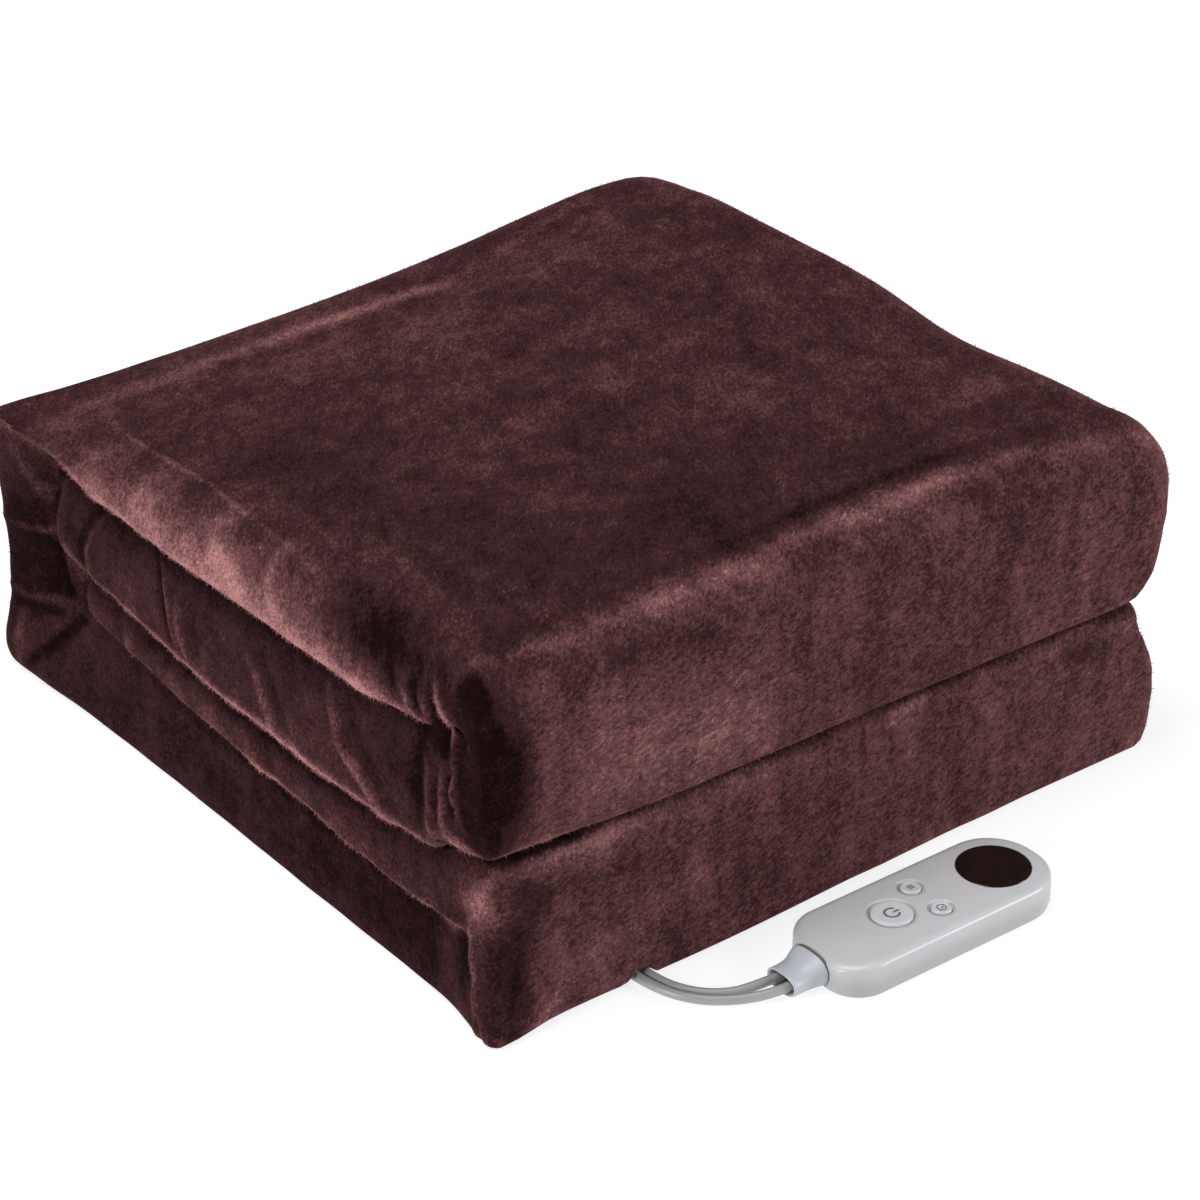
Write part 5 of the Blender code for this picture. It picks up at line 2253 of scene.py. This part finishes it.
def catmull(knots: np.ndarray, values: np.ndarray, at: np.ndarray) -> np.ndarray:
    """Read a smooth curve through values at knots.

    Args:
        knots: rising positions of the values.
        values: one row for each knot.
        at: positions to read.

    Returns:
        One row for each position.
    """
    slope = np.gradient(values, knots, axis=0)
    index = np.clip(np.searchsorted(knots, at, side="right") - 1, 0, len(knots) - 2)
    span = (knots[index + 1] - knots[index])[:, None]
    t = ((at - knots[index])[:, None]) / span
    h00, h10 = 2 * t**3 - 3 * t**2 + 1, t**3 - 2 * t**2 + t
    h01, h11 = -2 * t**3 + 3 * t**2, t**3 - t**2
    return (
        h00 * values[index] + h10 * span * slope[index]
        + h01 * values[index + 1] + h11 * span * slope[index + 1]
    )  # fmt: skip


def grid_normals(points: np.ndarray) -> np.ndarray:
    """Find the outward unit normals of a tube-like grid of points.

    Args:
        points: rows by ring by axis.

    Returns:
        The normals in the same shape.
    """
    around = np.roll(points, -1, 1) - np.roll(points, 1, 1)
    along = np.gradient(points, axis=0)
    normal = np.cross(along, around)
    normal /= np.maximum(np.linalg.norm(normal, axis=2, keepdims=True), 1e-9)
    outward = points - points.mean(axis=1, keepdims=True)
    return normal if (normal * outward).sum() > 0 else -normal


L, F, T = Face.LEFT, Face.FRONT, Face.TOP
UPPER, LOWER, SPINE, TOP = "upper flap", "lower flap", "spine", "top"
UP_FOLD, LOW_FOLD, BASE = "upper fold", "lower fold", "bottom"
CREASES: tuple[Crease, ...] = (
    # stretches, face, depth, half width, nap, line; nap paints light above zero and shade below
    # upper flap: the inner ply's arc, its creases, its shaded upper part and its lit rim
    Crease(
        UPPER, L, 1.6, 12, 0.06,
        ((347, 92), (349, 100), (349, 107), (345, 117), (335, 132)), Form.LAP,
    ),
    Crease(UPPER, L, 0.0, 2.2, 0.24, ((346, 88), (349, 96), (350, 106), (346, 117), (336, 132))),
    Crease(UPPER, L, -0.6, 4, -0.22, ((353, 90), (356, 98), (357, 106), (353, 118), (344, 132))),
    Crease(UPPER, L, 0.0, 20, 0.12, ((338, 98), (310, 94), (300, 92))),
    Crease(UPPER, L, 0.0, 26, -0.16, ((380, 112), (350, 112), (320, 124))),
    Crease(UPPER, L, -1.6, 4, -0.24, ((291, 136), (280, 117), (274, 105), (268, 88))),
    Crease(UPPER, L, 1.5, 4, 0.20, ((286, 130), (274, 116), (269, 104), (264, 92))),
    Crease(UPPER, L, 1.8, 4, 0.26, ((262, 122), (262, 108), (260, 101), (254, 92), (246, 84))),
    Crease(UPPER, L, -1.2, 6, -0.10, ((250, 118), (248, 104), (240, 92))),
    Crease(UPPER, L, 2.0, 4, 0.28, ((200, 112), (188, 102), (183, 95), (179, 88), (170, 78))),
    Crease(UPPER, L, -1.4, 7, -0.14, ((190, 120), (178, 104), (170, 94), (162, 84))),
    Crease(
        UPPER, L, 2.6, 5, 0.30,
        ((124, 116), (118, 104), (111, 99), (102, 96), (92, 90), (82, 82), (74, 76)),
    ),
    Crease(UPPER, L, -1.8, 8, -0.14, ((114, 122), (100, 108), (88, 100), (74, 88))),
    Crease(UPPER, L, 1.4, 5, 0.08, ((134, 132), (128, 118), (122, 110))),
    Crease(UPPER, L, 0.0, 17, 0.12, ((200, 88), (180, 86), (150, 86), (120, 90))),
    Crease(UPPER, L, 0.0, 16, -0.12, ((90, 118), (70, 110), (58, 104))),
    Crease(UPPER, L, -1.0, 15, -0.26, ((380, 140), (300, 137), (200, 136), (50, 138))),
    Crease(
        UPPER, L, 0.0, 5.4, 0.82,
        ((372, 98), (353, 90), (313, 86), (265, 82), (219, 79), (178, 79), (148, 77), (117, 78),
         (84, 80), (48, 79), (30, 82)),
    ),
    # lower flap: its lit rim, the ply and the shade under the upper flap
    Crease(
        LOWER, L, 0.0, 5.0, 0.86,
        ((366, 62), (347, 60), (312, 56), (278, 54), (232, 52), (212, 50), (192, 51), (158, 48),
         (135, 47), (109, 45), (80, 44), (59, 45), (30, 46)),
    ),
    Crease(LOWER, L, 0.0, 12, 0.10, ((360, 66), (278, 60), (192, 56), (109, 52), (30, 52))),
    Crease(LOWER, L, 0.8, 8, 0.06, ((313, 60), (316, 66), (320, 78)), Form.LAP),
    Crease(LOWER, L, 0.0, 2.0, 0.16, ((312, 54), (317, 66), (321, 78))),
    Crease(LOWER, L, 0.0, 2.6, -0.16, ((318, 54), (323, 66), (327, 78))),
    Crease(LOWER, L, 0.0, 9, -0.22, ((360, 84), (280, 76), (200, 73), (120, 72), (40, 75))),
    Crease(LOWER, L, 1.0, 9, 0.08, ((205, 66), (196, 56), (190, 48))),
    Crease(LOWER, L, -0.8, 7, -0.10, ((186, 66), (180, 56), (176, 50))),
    Crease(LOWER, L, 0.8, 10, 0.08, ((128, 66), (120, 54), (112, 46))),
    # bottom layer
    Crease(BASE, L, 0.0, 40, -0.16, ((400, 24), (200, 24), (-30, 24))),
    Crease(BASE, L, 0.0, 7, -0.12, ((384, 52), (200, 46), (30, 40))),
    Crease("bottom, lower fold", L, 0.0, 30, -0.09, ((130, 20), (70, 22), (24, 22))),
    # spine, seen past the flaps
    Crease(SPINE, L, 0.0, 40, -0.34, ((446, 30), (420, 90), (400, 120))),
    Crease(SPINE, L, 1.5, 4, 0.30, ((446, 87), (411, 92), (396, 95))),
    Crease(SPINE, L, -3.0, 18, -0.95, ((450, 70), (418, 70), (380, 72))),
    Crease(SPINE, L, 1.6, 3.0, 0.24, ((446, 45), (414, 50), (388, 57))),
    Crease(SPINE, L, -1.6, 4, -0.30, ((446, 38), (414, 44), (390, 50))),
    Crease(SPINE, L, 1.4, 8, 0.26, ((426, 38), (428, 24), (426, 10))),
    Crease("spine, bottom", L, -3.0, 5, -0.45, ((372, 54), (389, 36), (418, 7))),
    Crease(SPINE, L, 1.2, 6, 0.18, ((424, 136), (412, 120), (400, 108))),
    Crease(SPINE, L, -1.4, 9, -0.20, ((404, 128), (392, 112), (388, 100))),
    # lip of the top layer: lit lower rim, soft swellings, and the pleats of its near end
    Crease(
        "top, spine", L, 0.0, 7.0, 0.62,
        ((446, 150), (400, 146), (361, 143), (311, 143), (269, 141), (186, 142), (85, 144),
         (36, 147)),
    ),
    Crease("top, spine", L, 0.0, 12, 0.10, ((420, 152), (330, 152))),
    Crease("top, spine", L, 0.0, 15, 0.46, ((322, 152), (260, 151), (180, 150), (90, 149))),
    Crease(TOP, L, 0.0, 13, -0.10, ((420, 180), (60, 180))),
    Crease(TOP, L, 0.0, 5, 0.16, ((372, 172), (364, 160), (352, 150))),
    Crease(TOP, L, 2.2, 6, 0.16, ((358, 158), (342, 152), (331, 146))),
    Crease(TOP, L, 1.6, 6, 0.20, ((325, 168), (303, 155), (281, 151), (258, 147))),
    Crease(TOP, L, 2.0, 7, 0.26, ((248, 174), (231, 160), (214, 155), (198, 148))),
    Crease(TOP, L, 2.0, 7, 0.26, ((192, 176), (177, 159), (163, 152), (150, 146))),
    Crease(TOP, L, -1.0, 9, -0.03, ((296, 176), (272, 166), (250, 158))),
    Crease(TOP, L, -1.0, 9, -0.03, ((226, 176), (204, 164), (188, 154))),
    Crease("top, spine", L, 0.0, 18, -0.30, ((460, 178), (420, 176), (370, 176))),
    Crease(
        "top, spine", T, 0.5, 2.4, 0.20,
        ((48, 415), (40, 389), (34, 353), (32, 318), (31, 273), (27, 249), (22, 198), (16, 150)),
    ),
    Crease(TOP, L, 1.8, 3.6, 0.20, ((116, 148), (98, 146), (82, 144))),
    Crease("top, upper fold", L, 1.2, 3, 0.30, ((62, 172), (62, 160), (56, 150), (46, 144))),
    Crease("top, upper fold", L, 1.2, 3, 0.30, ((48, 170), (47, 159), (43, 151), (36, 146))),
    Crease("top, upper fold", L, -1.4, 3, -0.30, ((55, 172), (54, 158), (49, 150))),
    Crease("top, upper fold", L, 1.8, 4.5, 1.0, ((38, 170), (37, 160), (37, 150), (38, 140))),
    Crease("top, upper fold", L, -1.2, 5, -0.20, ((78, 172), (74, 162), (68, 154))),
    Crease("top, upper fold", L, 0.0, 18, -0.34, ((120, 166), (70, 168), (24, 168))),
    # end of the upper fold
    Crease("upper fold, upper flap", L, 2.4, 3.4, 0.16, ((49, 124), (46, 107), (45, 94), (42, 80))),
    Crease(UP_FOLD, L, 3.0, 3.4, 0.30, ((38, 128), (37, 110), (37, 99), (32, 91), (22, 85))),
    Crease(UP_FOLD, L, 2.4, 3.0, 0.22, ((33, 140), (28, 127), (30, 118), (26, 112), (19, 102))),
    Crease("upper fold, upper flap", L, -3.0, 6, -0.26, ((60, 136), (57, 112), (53, 92))),
    Crease(UP_FOLD, L, -2.6, 2.8, -0.20, ((43, 124), (42, 108), (41, 92))),
    Crease(UP_FOLD, L, -2.6, 2.8, -0.20, ((33, 126), (32, 112), (30, 98))),
    Crease("upper fold, upper flap", L, -2.0, 6, -0.34, ((44, 152), (40, 138), (38, 130))),
    Crease(UP_FOLD, F, -1.6, 19, -0.62, ((4, 172), (8, 150), (12, 130), (8, 98))),
    Crease("top, upper fold", L, 0.0, 13, -0.75, ((16, 176), (18, 150), (16, 130), (12, 92))),
    Crease("upper fold, upper flap", L, 0.0, 6, 0.50, ((46, 90), (30, 90), (20, 88), (8, 90))),
    Crease(UP_FOLD, F, 0.0, 5, 0.24, ((2, 92), (30, 91), (60, 90))),
    # front of the upper fold: ragged painted highlight over its edge, the paler middle and soft bands
    Crease(
        UP_FOLD, T, 0.0, 10, 0.15,
        ((6, 22), (60, 18), (120, 19), (160, 21), (210, 25), (250, 26), (290, 31), (330, 29),
         (370, 21), (424, 10)),
    ),
    Crease(
        "top, upper fold", T, 0.0, 8, -0.18,
        ((40, 36), (120, 38), (180, 41), (250, 45), (320, 45), (380, 36)),
    ),
    Crease(UP_FOLD, T, 0.0, 7, 0.16, ((96, 22), (128, 19))),
    Crease(UP_FOLD, T, 0.0, 8, 0.18, ((255, 26), (290, 28), (310, 26))),
    Crease(UP_FOLD, F, 0.0, 46, 0.22, ((52, 112), (110, 120), (170, 130))),
    Crease(UP_FOLD, F, 0.0, 10, -0.15, ((50, 176), (84, 173), (128, 167))),
    Crease(UP_FOLD, F, 0.0, 12, -0.12, ((186, 172), (190, 104))),
    Crease(UP_FOLD, F, 0.0, 14, 0.08, ((368, 136), (374, 100))),
    # lower fold: lit fringe in the crevice, shaded left part, rims and the ridge up its corner
    Crease(LOW_FOLD, T, 0.8, 6, 0.36, ((-10, 12), (21, 6), (36, 5), (54, 5), (75, 5), (150, 5))),
    Crease(LOW_FOLD, T, 0.0, 6, 0.12, ((60, 5), (200, 5), (430, 6))),
    Crease(LOW_FOLD, T, 0.0, 3.6, 0.26, ((260, 5), (274, 5))),
    Crease(LOW_FOLD, T, 0.0, 3.6, 0.32, ((296, 5), (314, 5))),
    Crease(LOW_FOLD, T, 0.0, 4.0, 0.28, ((346, 5), (396, 6))),
    Crease(LOW_FOLD, F, 0.0, 7, 0.22, ((404, 84), (414, 72))),
    Crease(LOW_FOLD, F, 0.0, 10, -0.16, ((346, 76), (394, 72))),
    Crease("lower flap, lower fold", L, 1.4, 12, 0.32, ((24, 72), (14, 66), (8, 58))),
    Crease(LOW_FOLD, F, 1.4, 7, 0.18, ((3, 78), (6, 66), (2, 56))),
    Crease(LOW_FOLD, F, 0.0, 13, -0.26, ((19, 78), (26, 66), (20, 54))),
    Crease(LOW_FOLD, F, 0.0, 15, -0.42, ((10, 66), (11, 38), (12, 4))),
    Crease(LOW_FOLD, F, 0.0, 9, -0.10, ((34, 71), (60, 66), (96, 61))),
    Crease(LOW_FOLD, F, 0.0, 16, 0.12, ((36, 18), (60, 28), (90, 36), (150, 46))),
    Crease(LOW_FOLD, F, 0.8, 4, 0.20, ((14, 3), (26, 5), (36, 14))),
    Crease(LOW_FOLD, L, 2.2, 3.4, 0.26, ((13, 56), (14, 39), (10, 30), (11, 18), (12, 0))),
    Crease(LOW_FOLD, L, 1.8, 3.0, 0.22, ((9, 22), (6, 10), (4, 0))),
    Crease("lower fold, bottom", L, -1.4, 9, -0.20, ((24, 52), (22, 35), (20, 16))),
    Crease("lower flap, lower fold", L, 0.0, 5, 0.60, ((76, 44), (50, 44), (31, 45), (16, 50))),
    # painted sheen along the spine's upper rounding, and blotches on the top
    Crease("spine, top", T, 0.0, 12, 0.34, ((20, 418), (119, 410), (182, 406), (237, 398), (262, 388))),
    Crease("spine, top", T, 0.0, 9, 0.16, ((186, 402), (235, 398), (262, 386))),
    Crease("spine, top", T, 0.0, 10, 0.20, ((282, 394), (323, 407), (376, 412))),
    Crease(TOP, T, 0.0, 12, 0.10, ((224, 188), (240, 222))),
    Crease(TOP, T, 0.0, 11, 0.10, ((328, 206), (336, 160))),
    Crease(TOP, T, 0.0, 12, 0.09, ((292, 160), (266, 148))),
    Crease(TOP, T, 0.0, 14, 0.10, ((352, 84), (402, 94))),
    Crease(TOP, T, 0.0, 12, -0.08, ((376, 48), (366, 72))),
    Crease(TOP, T, 0.0, 26, 0.05, ((313, 358), (350, 360))),
    Crease(TOP, T, 0.0, 24, 0.06, ((140, 357), (212, 350), (249, 355))),
    Crease(TOP, T, 0.0, 30, -0.06, ((127, 160), (251, 190))),
    Crease(TOP, T, 0.0, 60, -0.12, ((90, 380), (80, 90), (330, 60))),
    Crease(TOP, T, 0.0, 34, 0.12, ((46, 176), (44, 96))),
)


def main() -> None:
    """Build the studio, the leads, the throw and the hand control, in that order."""
    logging.basicConfig(level=logging.INFO, format="%(message)s")
    Studio().build()
    Leads().build()
    Pile().build(Throw().build())
    HandControl().build()


if __name__ == "__main__":
    main()
